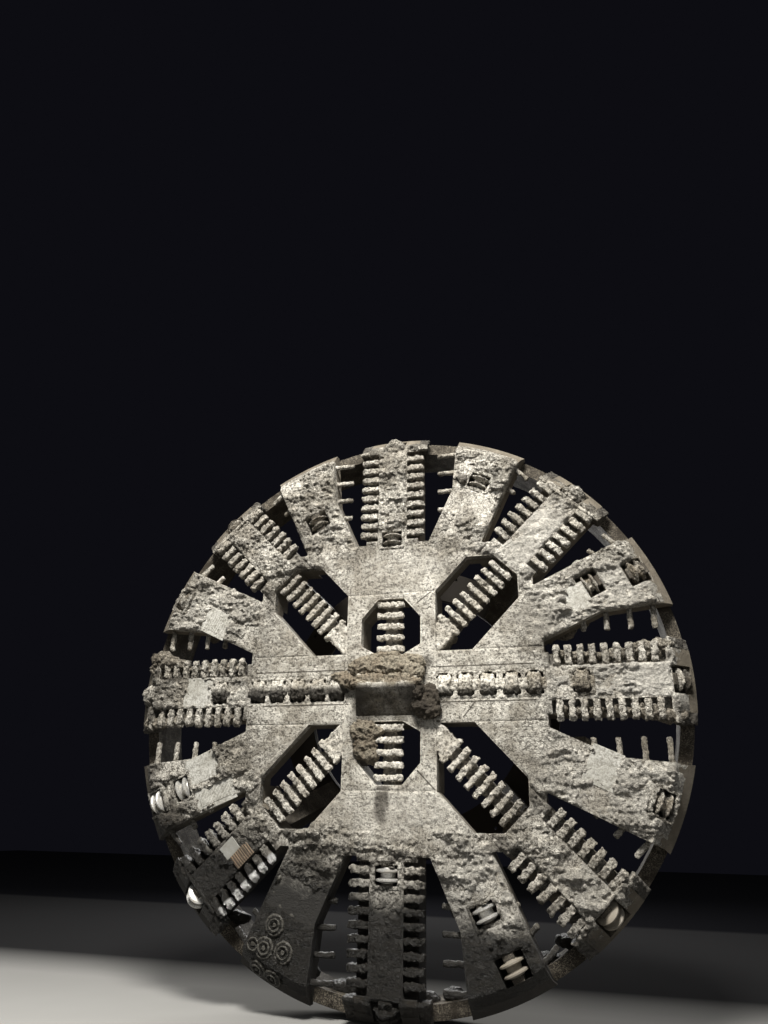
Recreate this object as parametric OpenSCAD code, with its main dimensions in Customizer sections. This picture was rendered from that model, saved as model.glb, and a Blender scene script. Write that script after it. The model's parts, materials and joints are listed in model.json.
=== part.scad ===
// Cutterhead of a 10.8 m tunnel boring machine: a welded spoke and panel wheel that turns about
// the Y axis. The origin is the centre of the drive flange's rear face, the cutting face looks
// along -Y and +Z is up. All sizes are in millimetres.

/* [Head] */
// Radius over the rim
head_r = 5400; // [5300:10:5500]
// Cutting face ahead of the drive flange's rear face
face_z = 2300; // [2200:10:2600]
// Depth of the panels behind the face
panel_t = 460; // [430:10:520]
// Depth of the spokes and the centre block behind the face
spoke_t = 680; // [620:10:760]
// Width of the rim's bevel
bevel_w = 320; // [290:5:360]
// Depth of the rim's bevel
bevel_drop = 300; // [260:10:340]
// Depth of the face's outer lip, ahead of the rim ring
lip_t = 440; // [430:5:450]

/* [Rim ring] */
// Step from the rim in to the outer side of the rim ring
ring_step = 40; // [10:5:60]
// Thickness of the rim ring
ring_wall = 230; // [200:5:240]
// Length of the rim ring along the axis
ring_len = 900; // [700:10:1000]

/* [Spokes] */
// Half width of a spoke
spoke_half = 540; // [500:5:560]
// Half width of the raised spine between the scraper shoulders
spine_half = 300; // [270:5:330]
// Depth of the scraper shoulders under the face
shoulder_drop = 160; // [120:5:200]
// Radius where the shoulders of an upright or level spoke start
shoulder_r = 2970; // [2930:5:3020]
// Radius where the shoulders of a diagonal spoke start
shoulder_diag_r = 3480; // [3440:5:3540]
// Distance from the gauge blocks in to where all shoulders end
shoulder_gap = 30; // [10:1:33]

/* [Face openings] */
// Inner upright side of a corner opening
corner_x = 890; // [860:5:920]
// Inner level side of a corner opening, also the half width of the spoke roots
corner_z = 655; // [640:5:680]
// Outer sides of a corner opening
corner_far = 2492; // [2450:2:2530]
// Where the outer sides meet the chamfer at the diagonal spoke
corner_cut = 2052; // [2010:2:2090]
// Outer end of the inner level side
corner_x_end = 1590; // [1550:5:1630]
// Outer end of the slope that runs up from the level side
corner_slope_z = 1604; // [1560:2:1650]
// Outer end of the inner upright side, also the centre block's half height
corner_z_end = 1836; // [1800:2:1870]
// Outer end of the slope that runs up from the upright side
corner_slope_x = 1512; // [1470:2:1550]
// Half width of a centre opening
centre_open_half = 595; // [560:5:620]
// Half width of a centre opening at its two ends
centre_open_end = 256; // [240:2:270]
// Inner end of a centre opening
centre_open_z0 = 620; // [600:5:640]
// Start of the upright sides of a centre opening
centre_open_z1 = 810; // [780:5:840]
// End of the upright sides of a centre opening
centre_open_z2 = 1350; // [1310:5:1390]
// Outer end of a centre opening
centre_open_z3 = 1728; // [1700:2:1750]

/* [Muck gaps] */
// Inner end of the gaps beside an upright or level spoke
gap_r = 2889; // [2860:1:2920]
// Panel side of that gap at its inner end
gap_t_in = 767; // [740:1:790]
// Radius of the bend in the panel's side
gap_bend_r = 3970; // [3900:5:4050]
// Panel side of the gap at the bend
gap_t_bend = 1264; // [1220:2:1300]
// Panel side of the gap at the rim
gap_t_rim = 1385; // [1350:5:1430]
// Inner end of the gaps beside a diagonal spoke, on the spoke's side
gap_diag_r = 3375; // [3340:5:3410]
// Inner end of the gaps beside a diagonal spoke, on the panel's side
gap_diag_in_r = 3240; // [3210:5:3270]
// Panel side of the diagonal gap at its inner end
gap_diag_t_in = 670; // [640:5:700]
// Panel side of the diagonal gap at the rim
gap_diag_t_rim = 1352; // [1320:2:1390]

/* [Scrapers] */
// Width of a scraper along the spoke
scraper_w = 112; // [90:2:130]
// Distance between scrapers along the spoke
scraper_pitch = 210; // [195:1:220]
// Distance from a shoulder's start to the first scraper on an upright or level spoke
scraper_in = 135; // [60:5:190]
// Distance from a shoulder's start to the first scraper on a diagonal spoke
scraper_diag_in = 165; // [60:5:220]
// Reach of the scraper tips from the spoke's centre line
scraper_tip = 665; // [640:5:680]
// Height of the scraper tips above the face
scraper_rise = 55; // [30:5:80]
// Length of the gauge blocks at a spoke's end
gauge_block_len = 405; // [360:1:410]
// Reach of the gauge blocks from the spoke's centre line
gauge_block_tip = 729; // [700:1:750]
// Depth of the gauge blocks behind the face
gauge_block_t = 340; // [320:5:400]

/* [Scraper ladders] */
// Half width of a ladder's bar
ladder_bar_half = 130; // [110:5:150]
// Depth of a ladder's bar under the face
ladder_bar_drop = 110; // [90:5:130]
// Reach of a ladder's rungs from its centre line
rung_tip = 270; // [240:5:300]
// Width of a rung
rung_w = 108; // [90:2:120]
// Half width of the slot between the two halves of a rung
rung_split = 14; // [8:1:24]
// First rung of a corner ladder, from the head's centre
corner_rung_r = 1630; // [1610:5:1660]
// Distance between the rungs of a corner ladder
corner_rung_pitch = 205; // [190:1:215]
// Half width of a corner ladder's root
ladder_root_half = 216; // [200:2:230]
// First rung of a centre ladder, from the head's centre
centre_rung_r = 735; // [725:1:745]
// Distance between the rungs of a centre ladder
centre_rung_pitch = 218; // [200:1:222]

/* [Disc cutters] */
// Radius of a cutter ring, a common 17 inch ring
disc_r = 216; // [200:1:220]
// Distance from a twin cutter's middle to each of its rings
disc_ring_at = 75; // [70:1:80]
// Half length of a twin cutter's hub
disc_hub_half = 125; // [120:1:128]
// Radius of a twin cutter's hub
disc_hub_r = 130; // [110:1:140]
// Radius of a cutter's shaft
disc_shaft_r = 62; // [50:1:75]
// Running clearance of a cutter's bearing round its shaft
disc_play = 0.3; // [0.2:0.05:0.5]
// Depth of a cutter's shaft under the surface that it works through
disc_sink = 111; // [100:1:125]
// Room round a cutter in its pocket
disc_room = 24; // [15:1:30]
// Gap from a cutter's hub to each saddle
disc_side_gap = 6; // [5:0.5:9]
// Thickness of a saddle along the shaft
saddle_t = 75; // [65:1:85]
// Width of a saddle across the shaft
saddle_w = 190; // [160:5:210]
// Height of a saddle
saddle_h = 220; // [190:5:230]
// Tilt of a gauge cutter, square to the rim's bevel
gauge_tilt = 43; // [40:1:46]
// Distance from the rim in to where a gauge cutter works through the bevel
gauge_step = 200; // [185:5:215]

/* [Cutter places] */
// Radius of the free cutter on the upper spoke
top_disc_r = 2997; // [2960:1:3030]
// Radius of the free cutter on the lower spoke
bottom_disc_r = 3186; // [3150:1:3220]
// Distance from the rim in to the inner cutter of the 22 degree panel
inner_022_in = 1204; // [1180:2:1230]
// Distance from the rim in to the outer cutter of the 22 degree panel
outer_022_in = 340; // [330:1:360]
// Distance from the rim in to the cutter of the 67 degree panel
disc_067_in = 920; // [880:5:960]
// Distance from the rim in to the cutter of the 112 degree panel
disc_112_in = 1523; // [1490:5:1560]
// Distance from the rim in to the cutter of the 157 degree panel
disc_157_in = 360; // [330:1:370]
// Distance from the rim in to the inner cutter of the 202 degree panel
inner_202_in = 900; // [880:2:930]
// Distance from the rim in to the outer cutter of the 202 degree panel
outer_202_in = 340; // [330:1:350]
// Distance from the rim in to the inner cutter of the 292 degree panel
inner_292_in = 1345; // [1320:5:1390]
// Distance from the rim in to the outer cutter of the 292 degree panel
outer_292_in = 497; // [480:1:520]
// Distance from the rim in to the cutter of the 337 degree panel
disc_337_in = 346; // [330:1:370]

/* [Nose] */
// Half length of the nose along its ridge
nose_half_x = 648; // [600:2:700]
// Half height of the nose at its root
nose_half_z = 540; // [480:5:560]
// Reach of the nose ahead of the face
nose_reach = 350; // [300:5:400]

/* [Small face fittings] */
// Radius of a muck bar in the gaps
rod_r = 33; // [28:1:40]
// Distance from a spoke's centre line to the tips of the muck bars
rod_tip = 945; // [920:5:990]
// Depth of the muck bars under the face
rod_drop = 180; // [120:5:240]
// Distance between the muck bars beside a spoke
rod_pitch = 412; // [380:2:440]
// Distance from the rim in to the first muck bar beside an upright or level spoke
rod_in = 540; // [500:5:580]
// Distance from the rim in to the first muck bar beside a diagonal spoke
rod_diag_in = 513; // [480:1:540]
// Radius of an agent port's cap
cap_r = 135; // [120:1:150]
// Radius of the port in a cap
cap_bore_r = 55; // [40:1:70]
// Height of a cap above the face
cap_h = 45; // [30:1:60]
// Width of the protective strips across the diagonal spokes
strip_w = 55; // [40:1:57]
// Height of a protective strip above the face
strip_h = 45; // [30:1:60]

/* [Drive side] */
// Outer radius of the drive flange
flange_r = 3000; // [2970:5:3060]
// Inner radius of the drive flange
flange_in_r = 2350; // [2300:5:2370]
// Thickness of the drive flange
flange_t = 180; // [150:5:220]
// Radius of the drive flange's bolt circle
bolt_circle_r = 2880; // [2870:1:2890]
// Radius of a bolt hole
bolt_hole_r = 31; // [24:0.5:36]
// Number of bolt holes
bolt_count = 48; // [40:4:56]
// Half width of a drive leg across the spoke
leg_half = 200; // [160:5:240]
// Inner edge of a leg's foot on the flange
leg_foot_in = 2380; // [2375:1:2420]
// Outer edge of a leg's foot on the flange
leg_foot_out = 2780; // [2740:5:2800]
// Inner edge of a leg's head behind an upright or level spoke
leg_head_in = 2250; // [2200:5:2300]
// Length of a leg's head along the spoke
leg_head_len = 600; // [500:10:700]
// Inner edge of a leg's head behind a diagonal spoke
leg_head_diag_in = 3230; // [3215:5:3300]
// Radius of the rotary joint's seat behind the centre block
hub_r = 600; // [560:5:615]
// Length of the rotary joint's seat
hub_len = 720; // [600:10:800]
// Radius of the bore for the rotary joint
hub_bore_r = 250; // [200:5:300]
// Radius of a mixing bar
mixer_r = 90; // [70:2:110]
// Length of a mixing bar
mixer_len = 600; // [500:10:700]
// Radius at which the mixing bars stand
mixer_at_r = 4100; // [3900:10:4300]

/* [Hidden] */
$fn = 72;
mud_tan = [0.70, 0.65, 0.55];
mud_dark = [0.36, 0.32, 0.26];
worn_steel = [0.55, 0.54, 0.52];

// Eight spokes, one each 45 degrees. Even ones are level or upright, odd ones diagonal.
SPOKES = [for (k = [0:7]) 45 * k];
function diagonal(angle) = angle % 90 != 0;
function deg_name(angle) = str(angle < 10 ? "00" : angle < 100 ? "0" : "", floor(angle));

// Panels of the first quadrant, mirrored into the others.
// angle, steep (1 beside the upright spoke), mirror in X, mirror in Z
PANELS = [
    [22, 0, 0, 0], [67, 1, 0, 0], [112, 1, 1, 0], [157, 0, 1, 0],
    [202, 0, 1, 1], [247, 1, 1, 1], [292, 1, 0, 1], [337, 0, 0, 1],
];
quarter = 45 / 2;

// Radii that the rim's own radius and its steps give
bevel_r = head_r - bevel_w;
ring_out_r = head_r - ring_step;
ring_in_r = ring_out_r - ring_wall;
gauge_r = head_r - gauge_step;
gauge_block_r = head_r - gauge_block_len;
shoulder_end_r = gauge_block_r - shoulder_gap;
cap_tilt = atan(bevel_drop / bevel_w);

// Free twin cutters: name, angle, radius on the face, tilt
rim_row_tilt = 20;
FREE_DISCS = [
    ["disc_top", 90, top_disc_r, 0], ["disc_bottom", 270, bottom_disc_r, 0],
    ["disc_022_inner", 25, head_r - inner_022_in, 0],
    ["disc_022_outer", 23, head_r - outer_022_in, rim_row_tilt],
    ["disc_067", 66, head_r - disc_067_in, 0], ["disc_112", 115, head_r - disc_112_in, 0],
    ["disc_157", 157, head_r - disc_157_in, rim_row_tilt],
    ["disc_202_inner", 203.8, head_r - inner_202_in, 0],
    ["disc_202_outer", 204.1, head_r - outer_202_in, rim_row_tilt],
    ["disc_292_inner", 294.4, head_r - inner_292_in, 0],
    ["disc_292_outer", 295.3, head_r - outer_292_in, 0],
    ["disc_337", 336.7, head_r - disc_337_in, rim_row_tilt],
    ["gauge_000", 0, gauge_r, gauge_tilt], ["gauge_135", 135, gauge_r, gauge_tilt],
    ["gauge_225", 225, gauge_r, gauge_tilt], ["gauge_315", 315, gauge_r, gauge_tilt],
];
// Twin cutters caked solid: radii along the level row, and angles of those at the rim
ROW_DISCS = [1053, 1444, 1855, 2287, 2692, 3521];
CAKED_GAUGE = [45, 90, 180, 270];

// Agent port caps on the lower left panel: name, angle, radius, tilt
PORT_CAPS = [
    ["", 243.6, head_r - 908, 0], ["", 243.7, head_r - 520, 0], ["", 247.8, head_r - 617, 0],
    ["", 241.3, head_r - 470, 0], ["", 243.7, head_r - 165, cap_tilt],
    ["", 247.2, head_r - 170, cap_tilt],
];

// Radii of the muck bars beside an upright or level spoke, and beside a diagonal one
RODS = [for (i = [0:3]) head_r - rod_in - i * rod_pitch];
RODS_DIAG = [for (i = [0:2]) head_r - rod_diag_in - i * rod_pitch];

beyond = 1.2 * head_r;
saddle_end = disc_hub_half + disc_side_gap + saddle_t;
pocket_half = disc_r + disc_room;
far_line = corner_far * sqrt(2);
function scrapers_from(first) = 1 + floor((shoulder_end_r - first - scraper_w / 2) / scraper_pitch);
scraper_nick = 30;
joint_lap = 5;
weld_gap = 0.2;

// Turns a model drawn face-on, with Z ahead of the flange, into the head's own frame
module face_on() rotate([90, 0, 0]) children();

// Plan of the corner opening in the first quadrant
module corner_plan() polygon([
    [corner_x, corner_z], [corner_x_end, corner_z], [corner_far, corner_slope_z],
    [corner_far, corner_cut], [corner_cut, corner_far], [corner_slope_x, corner_far],
    [corner_x, corner_z_end]
]);

// Plan of the centre opening above the nose
module centre_opening_plan() polygon([
    [centre_open_end, centre_open_z0], [centre_open_half, centre_open_z1],
    [centre_open_half, centre_open_z2], [centre_open_end, centre_open_z3],
    [-centre_open_end, centre_open_z3], [-centre_open_half, centre_open_z2],
    [-centre_open_half, centre_open_z1], [-centre_open_end, centre_open_z0]
]);

module four_ways() for (a = [0, 1]) for (b = [0, 1]) mirror([a, 0, 0]) mirror([0, b, 0]) children();

// Plan of one gap, drawn on the left of a spoke that points along X
module gap_plan(is_diagonal) {
    if (is_diagonal)
        polygon([
            [gap_diag_r, spoke_half], [gap_diag_in_r, gap_diag_t_in],
            [ring_in_r, gap_diag_t_rim], [beyond, gap_diag_t_rim], [beyond, spoke_half]
        ]);
    else
        polygon([
            [gap_r, spoke_half], [gap_r, gap_t_in], [gap_bend_r, gap_t_bend],
            [ring_in_r, gap_t_rim], [beyond, gap_t_rim], [beyond, spoke_half]
        ]);
}

// Both sides of the spoke at one angle
module beside(angle) rotate(angle) for (side = [0, 1]) mirror([0, side, 0]) children();

// Everything that the face may fill: the outer lip is less deep, ahead of the rim ring
module envelope(depth) rotate_extrude(convexity = 4, $fn = 360) polygon([
    [0, face_z - depth], [ring_in_r, face_z - depth], [ring_in_r, face_z - lip_t],
    [head_r, face_z - lip_t], [head_r, face_z - bevel_drop], [bevel_r, face_z], [0, face_z]
]);

// Half section of a twin cutter round its shaft, as radius and place along the shaft
function twin_section(bore) = [
    [bore, -disc_hub_half], [disc_hub_r - 10, -disc_hub_half], [disc_hub_r, -disc_ring_at - 38],
    [disc_r - 26, -disc_ring_at - 25], [disc_r, -disc_ring_at - 12],
    [disc_r, -disc_ring_at + 12], [disc_r - 26, -disc_ring_at + 25],
    [disc_hub_r, -disc_ring_at + 38], [disc_hub_r, disc_ring_at - 38],
    [disc_r - 26, disc_ring_at - 25], [disc_r, disc_ring_at - 12],
    [disc_r, disc_ring_at + 12], [disc_r - 26, disc_ring_at + 25],
    [disc_hub_r, disc_ring_at + 38], [disc_hub_r - 10, disc_hub_half], [bore, disc_hub_half]
];

module twin_rotor(bore) rotate([0, 90, 0]) rotate_extrude(convexity = 6) polygon(twin_section(bore));

// Fixed shaft between its two saddles
module shaft_in_saddles() {
    rotate([0, 90, 0]) cylinder(h = 2 * saddle_end, r = disc_shaft_r, center = true);
    for (end = [-1, 1])
        translate([end * (saddle_end - saddle_t / 2), 0, 0]) cube([saddle_t, saddle_w, saddle_h], center = true);
}

// Room that a twin cutter and its saddles take out of what carries them
module pocket() translate([-saddle_end, -pocket_half, -pocket_half])
    cube([2 * saddle_end, 2 * pocket_half, 2 * pocket_half + disc_sink]);

// Places what a row of name, angle, radius and tilt stands for on the face or the bevel
module on_face(d) {
    drop = d[2] > bevel_r ? (d[2] - bevel_r) * bevel_drop / (head_r - bevel_r) : 0;
    rotate([0, 0, d[1]]) translate([d[2], 0, face_z - drop]) rotate([0, d[3], 0]) children();
}

module at_disc(d) on_face(d) translate([0, 0, -disc_sink]) children();

function caked_row(side) = [for (r = ROW_DISCS) ["", side, r, 0]];
caked_gauges = [for (a = CAKED_GAUGE) ["", a, gauge_r, gauge_tilt]];
all_discs = concat(FREE_DISCS, caked_row(0), caked_row(180), caked_gauges);
function apart(a, b) = abs((a - b + 540) % 360 - 180);

module pockets_near(angle, spread) for (d = all_discs) if (apart(d[1], angle) < spread) at_disc(d) pocket();

// Middle of the head between the spokes, with the two centre openings
module centre_block() color(mud_tan) face_on() difference() {
    translate([-corner_x, -corner_z_end, face_z - spoke_t]) cube([2 * corner_x, 2 * corner_z_end, spoke_t]);
    for (b = [0, 1]) mirror([0, b, 0]) translate([0, 0, face_z - spoke_t - 1])
        linear_extrude(spoke_t + 2) centre_opening_plan();
    pockets_near(0, 1);
    pockets_near(180, 1);
}

// Wedge shaped nose with a level ridge
module nose() color(mud_tan) face_on() translate([0, 0, face_z]) intersection() {
    translate([-nose_half_x, 0, 0]) rotate([90, 0, 90]) linear_extrude(2 * nose_half_x)
        polygon([[-nose_half_z, 0], [nose_half_z, 0], [40, nose_reach], [-40, nose_reach]]);
    translate([0, nose_half_z, 0]) rotate([90, 0, 0]) linear_extrude(2 * nose_half_z)
        polygon([[-nose_half_x, 0], [nose_half_x, 0], [nose_half_x - 90, nose_reach], [90 - nose_half_x, nose_reach]]);
}

// Plan of a whole spoke before the openings are cut, pointing along X
module spoke_plan(angle) {
    if (diagonal(angle))
        translate([far_line - spoke_half, -spoke_half]) square([beyond, 2 * spoke_half]);
    else {
        start = angle % 180 == 0 ? corner_x : corner_z_end;
        polygon([
            [start, -corner_z], [gap_r, -corner_z], [gap_r, -spoke_half], [beyond, -spoke_half],
            [beyond, spoke_half], [gap_r, spoke_half], [gap_r, corner_z], [start, corner_z]
        ]);
    }
}

// One box spoke with its raised spine, shoulders and cutter pockets
module spoke(angle) {
    shoulder_start = diagonal(angle) ? shoulder_diag_r : shoulder_r;
    color(mud_tan) face_on() difference() {
        intersection() {
            translate([0, 0, face_z - spoke_t]) linear_extrude(spoke_t) difference() {
                rotate(angle) spoke_plan(angle);
                four_ways() corner_plan();
            }
            envelope(spoke_t);
        }
        beside(angle) translate([shoulder_start, spine_half, face_z - shoulder_drop])
            cube([shoulder_end_r - shoulder_start, spoke_half, shoulder_drop + 1]);
        pockets_near(angle, 1);
    }
}

// One flat panel between two spokes
module panel(angle, steep, flip_x, flip_z) {
    root = spoke_half * sqrt(2);
    color(mud_tan) face_on() difference() {
        intersection() {
            translate([0, 0, face_z - panel_t]) linear_extrude(panel_t)
                mirror([flip_x, 0, 0]) mirror([0, flip_z, 0]) difference() {
                    mirror([steep, -steep, 0])
                        polygon([[corner_z + root, corner_z], [beyond, corner_z], [beyond, beyond - root]]);
                    corner_plan();
                    square([corner_x, corner_z_end]);
                    for (a = [0, 45, 90]) beside(a) gap_plan(diagonal(a));
                }
            envelope(panel_t);
        }
        pockets_near(angle + 0.5, quarter / 2);
    }
}

// Scrapers along both edges of a spoke, and the two gauge blocks at its end
module scrapers(angle) {
    first = diagonal(angle) ? shoulder_diag_r + scraper_diag_in : shoulder_r + scraper_in;
    count = scrapers_from(first);
    color(worn_steel) face_on() {
        beside(angle) for (i = [0:count - 1])
            translate([first + i * scraper_pitch - scraper_w / 2, 0, face_z])
                rotate([90, 0, 90]) linear_extrude(scraper_w) polygon([
                    [spine_half, -shoulder_drop], [spoke_half, -shoulder_drop],
                    [scraper_tip, scraper_nick - shoulder_drop / 2], [scraper_tip, 10],
                    [scraper_tip - 60, scraper_rise], [spine_half + 30, scraper_nick], [spine_half, 0]
                ]);
        intersection() {
            beside(angle) translate([gauge_block_r, spoke_half, face_z - gauge_block_t])
                cube([head_r, gauge_block_tip - spoke_half, gauge_block_t]);
            envelope(spoke_t);
        }
    }
}

// Bar with split rungs, pointing along X from one end to the other
module ladder(from, to, first, pitch, count) {
    translate([from, -ladder_bar_half, face_z - panel_t])
        cube([to - from, 2 * ladder_bar_half, panel_t - ladder_bar_drop]);
    for (side = [0, 1]) mirror([0, side, 0]) for (i = [0:count - 1])
        translate([first + i * pitch - rung_w / 2, 0, face_z])
            rotate([90, 0, 90]) linear_extrude(rung_w) polygon([
                [rung_split, -ladder_bar_drop - joint_lap], [ladder_bar_half, -ladder_bar_drop - joint_lap],
                [rung_tip, -ladder_bar_drop / 2], [rung_tip, 0], [rung_tip - 30, 25], [rung_split, 10]
            ]);
}

// Ladders of scrapers across the four corner openings, with a thick root at the inner corner
module corner_ladders() color(worn_steel) face_on() four_ways() {
    root_end = corner_rung_r - rung_w / 2 - 10;
    chamfer_r = (corner_far + corner_cut) / sqrt(2);
    rotate(45) ladder(root_end, chamfer_r, corner_rung_r, corner_rung_pitch, 8);
    translate([0, 0, face_z - panel_t]) linear_extrude(panel_t) intersection() {
        corner_plan();
        rotate(45) translate([0, -ladder_root_half]) square([root_end + joint_lap, 2 * ladder_root_half]);
    }
}

// Ladders of scrapers up the middle of the two centre openings
module centre_ladders() color(worn_steel) face_on() for (angle = [90, 270])
    rotate(angle) ladder(centre_open_z0, centre_open_z3, centre_rung_r, centre_rung_pitch, 5);

// Short bars that stand out of the panels into the gaps
module muck_bars() color(worn_steel) face_on() for (angle = SPOKES) intersection() {
    beside(angle) for (r = diagonal(angle) ? RODS_DIAG : RODS)
        translate([r, rod_tip, face_z - rod_drop]) rotate([-90, 0, 0]) cylinder(h = head_r / 4, r = rod_r);
    beside(angle) translate([0, 0, face_z - panel_t]) linear_extrude(panel_t) gap_plan(diagonal(angle));
}

// Protective strips across the diagonal spokes, just inside the bevel
module wear_strips() color(worn_steel) face_on() for (angle = SPOKES) if (diagonal(angle))
    rotate(angle) translate([shoulder_end_r, 40 - spoke_half, face_z])
        cube([strip_w, 2 * spoke_half - 80, strip_h]);

// Round caps of the agent ports
module port_caps() color(mud_dark) face_on() for (p = PORT_CAPS) on_face(p) difference() {
    translate([0, 0, weld_gap]) cylinder(h = cap_h, r = cap_r);
    translate([0, 0, -1]) cylinder(h = cap_h + 2, r = cap_bore_r);
}

// Shafts and saddles of the cutters that turn
module disc_shafts() color(mud_dark) face_on() for (d = FREE_DISCS) at_disc(d) shaft_in_saddles();

// Cutters caked solid in their pockets
module caked(discs) color(mud_dark) face_on() for (d = discs) at_disc(d) {
    twin_rotor(0);
    shaft_in_saddles();
}

module free_disc(d) color(worn_steel) face_on() at_disc(d) twin_rotor(disc_shaft_r + disc_play);

// Ring behind the outer ends of the spokes and panels
module rim_ring() color(mud_dark) face_on() rotate_extrude(convexity = 4, $fn = 180)
    translate([ring_in_r, face_z - lip_t - ring_len]) square([ring_out_r - ring_in_r, ring_len]);

// Ring that bolts to the main bearing
module drive_flange() color(worn_steel) face_on() difference() {
    cylinder(h = flange_t, r = flange_r, $fn = 180);
    translate([0, 0, -1]) cylinder(h = flange_t + 2, r = flange_in_r, $fn = 180);
    for (i = [0:bolt_count - 1]) rotate(360 / bolt_count * (i + 0.5))
        translate([bolt_circle_r, 0, -1]) cylinder(h = flange_t + 2, r = bolt_hole_r, $fn = 24);
}

// Legs from the flange to the backs of the spokes
module drive_legs() color(mud_dark) face_on() for (angle = SPOKES) {
    head_in = diagonal(angle) ? leg_head_diag_in : leg_head_in;
    rotate(angle) translate([0, leg_half, 0]) rotate([90, 0, 0]) linear_extrude(2 * leg_half) polygon([
        [leg_foot_in, flange_t], [leg_foot_out, flange_t],
        [head_in + leg_head_len, face_z - spoke_t - weld_gap], [head_in, face_z - spoke_t - weld_gap]
    ]);
}

// Bored seat of the rotary joint behind the centre block
module rotary_seat() color(mud_dark) face_on() translate([0, 0, face_z - spoke_t - hub_len])
    difference() {
        cylinder(h = hub_len, r = hub_r, $fn = 96);
        translate([0, 0, -1]) cylinder(h = hub_len + 2, r = hub_bore_r, $fn = 96);
    }

// Bars behind four spokes that stir the muck
module mixing_bars() color(mud_dark) face_on() for (angle = [0, 90, 180, 270])
    rotate(angle) translate([mixer_at_r, 0, face_z - spoke_t - mixer_len]) cylinder(h = mixer_len, r = mixer_r);

centre_block();
nose();
rim_ring();
drive_flange();
drive_legs();
rotary_seat();
for (a = SPOKES) spoke(a);
for (p = PANELS) panel(p[0], p[1], p[2], p[3]);
for (a = SPOKES) scrapers(a);
corner_ladders();
centre_ladders();
muck_bars();
wear_strips();
port_caps();
disc_shafts();
caked(caked_row(0));  // caked_discs_right
caked(caked_row(180));  // caked_discs_left
caked(caked_gauges);  // caked_gauge_discs
mixing_bars();
for (d = FREE_DISCS) free_disc(d);
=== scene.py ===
"""Looks of a tunnel boring machine cutterhead, caked in dried mud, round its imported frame."""

import json
import math

import bpy
import numpy as np
from mathutils import Matrix, Vector


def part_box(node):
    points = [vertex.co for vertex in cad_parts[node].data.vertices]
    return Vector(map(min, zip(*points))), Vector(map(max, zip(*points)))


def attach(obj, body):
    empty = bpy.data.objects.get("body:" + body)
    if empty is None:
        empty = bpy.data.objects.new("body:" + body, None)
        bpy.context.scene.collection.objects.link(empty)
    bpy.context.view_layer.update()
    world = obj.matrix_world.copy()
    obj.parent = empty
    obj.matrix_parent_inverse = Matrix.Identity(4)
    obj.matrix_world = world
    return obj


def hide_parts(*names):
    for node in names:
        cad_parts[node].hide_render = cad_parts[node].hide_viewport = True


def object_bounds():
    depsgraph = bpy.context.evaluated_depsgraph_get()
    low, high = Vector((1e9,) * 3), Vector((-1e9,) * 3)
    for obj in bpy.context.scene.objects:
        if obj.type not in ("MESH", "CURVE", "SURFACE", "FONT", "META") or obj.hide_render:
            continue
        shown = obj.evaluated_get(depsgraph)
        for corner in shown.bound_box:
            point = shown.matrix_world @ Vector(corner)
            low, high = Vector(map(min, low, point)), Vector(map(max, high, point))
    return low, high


# Main sizes, in metres, worked out from the frame
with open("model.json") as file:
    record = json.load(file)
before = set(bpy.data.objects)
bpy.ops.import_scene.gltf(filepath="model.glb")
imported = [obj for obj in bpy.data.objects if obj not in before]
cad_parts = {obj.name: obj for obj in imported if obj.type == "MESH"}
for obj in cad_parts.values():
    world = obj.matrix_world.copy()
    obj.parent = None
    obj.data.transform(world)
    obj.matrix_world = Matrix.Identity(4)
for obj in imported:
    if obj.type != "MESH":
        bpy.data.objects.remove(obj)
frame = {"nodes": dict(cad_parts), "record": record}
CAD_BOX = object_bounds()
RIM_INSET = 0.04
HEAD_R = round(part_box("rim_ring")[1].x, 2) + RIM_INSET
FACE_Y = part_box("nose")[1].y
NOSE_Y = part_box("nose")[0].y
SPOKE_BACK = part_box("spoke_000")[1].y - FACE_Y
PANEL_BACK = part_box("panel_022")[1].y - FACE_Y
SEAT_BACK_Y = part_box("rotary_seat")[1].y
SPOKE_ANGLES = [45 * k for k in range(8)]
PANEL_ANGLES = [22, 67, 112, 157, 202, 247, 292, 337]
BEVEL_R = 5.08
BEVEL_DROP = 0.30
MUD_GAP = 0.001

# Cutters: the rings' radius, their depth in the face and half their width, and the pockets' half sizes
DISC_R = 0.216
DISC_SINK = 0.111
DISC_HALF = 0.125
POCKET_X = 0.206
POCKET_Y = 0.240
ROW_TILT = 20
ROW_RADII = [1.053, 1.444, 1.855, 2.287, 2.692, 3.521]

# Cutters that turn in the face: node, angle, radius and tilt
TURNING_DISCS = [
    ("disc_top", 90, 2.997, 0),
    ("disc_bottom", 270, 3.186, 0),
    ("disc_022_inner", 25, 4.196, 0),
    ("disc_022_outer", 23, 5.060, ROW_TILT),
    ("disc_067", 66, 4.480, 0),
    ("disc_112", 115, 3.877, 0),
    ("disc_157", 157, 5.040, ROW_TILT),
    ("disc_202_inner", 203.8, 4.500, 0),
    ("disc_202_outer", 204.1, 5.060, ROW_TILT),
    ("disc_292_inner", 294.4, 4.055, 0),
    ("disc_292_outer", 295.3, 4.903, 0),
    ("disc_337", 336.7, 5.054, ROW_TILT),
]
OPEN_POCKETS = ["disc_112", "disc_022_inner", "disc_022_outer", "disc_292_outer"]
BRIGHT_DISCS = ("disc_bottom", "disc_202_inner", "disc_202_outer", "disc_292_inner", "gauge_225")

# Cutters that turn although mud sticks to them
CAKED_ROLLERS = ["disc_top", "disc_022_inner", "disc_022_outer", "disc_067", "disc_112", "disc_157",
                 "disc_337", "gauge_000", "gauge_135"]
BODY_OF = {node: body for body, held in frame["record"]["behaviour"]["bodies"].items() for node in held}

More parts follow.
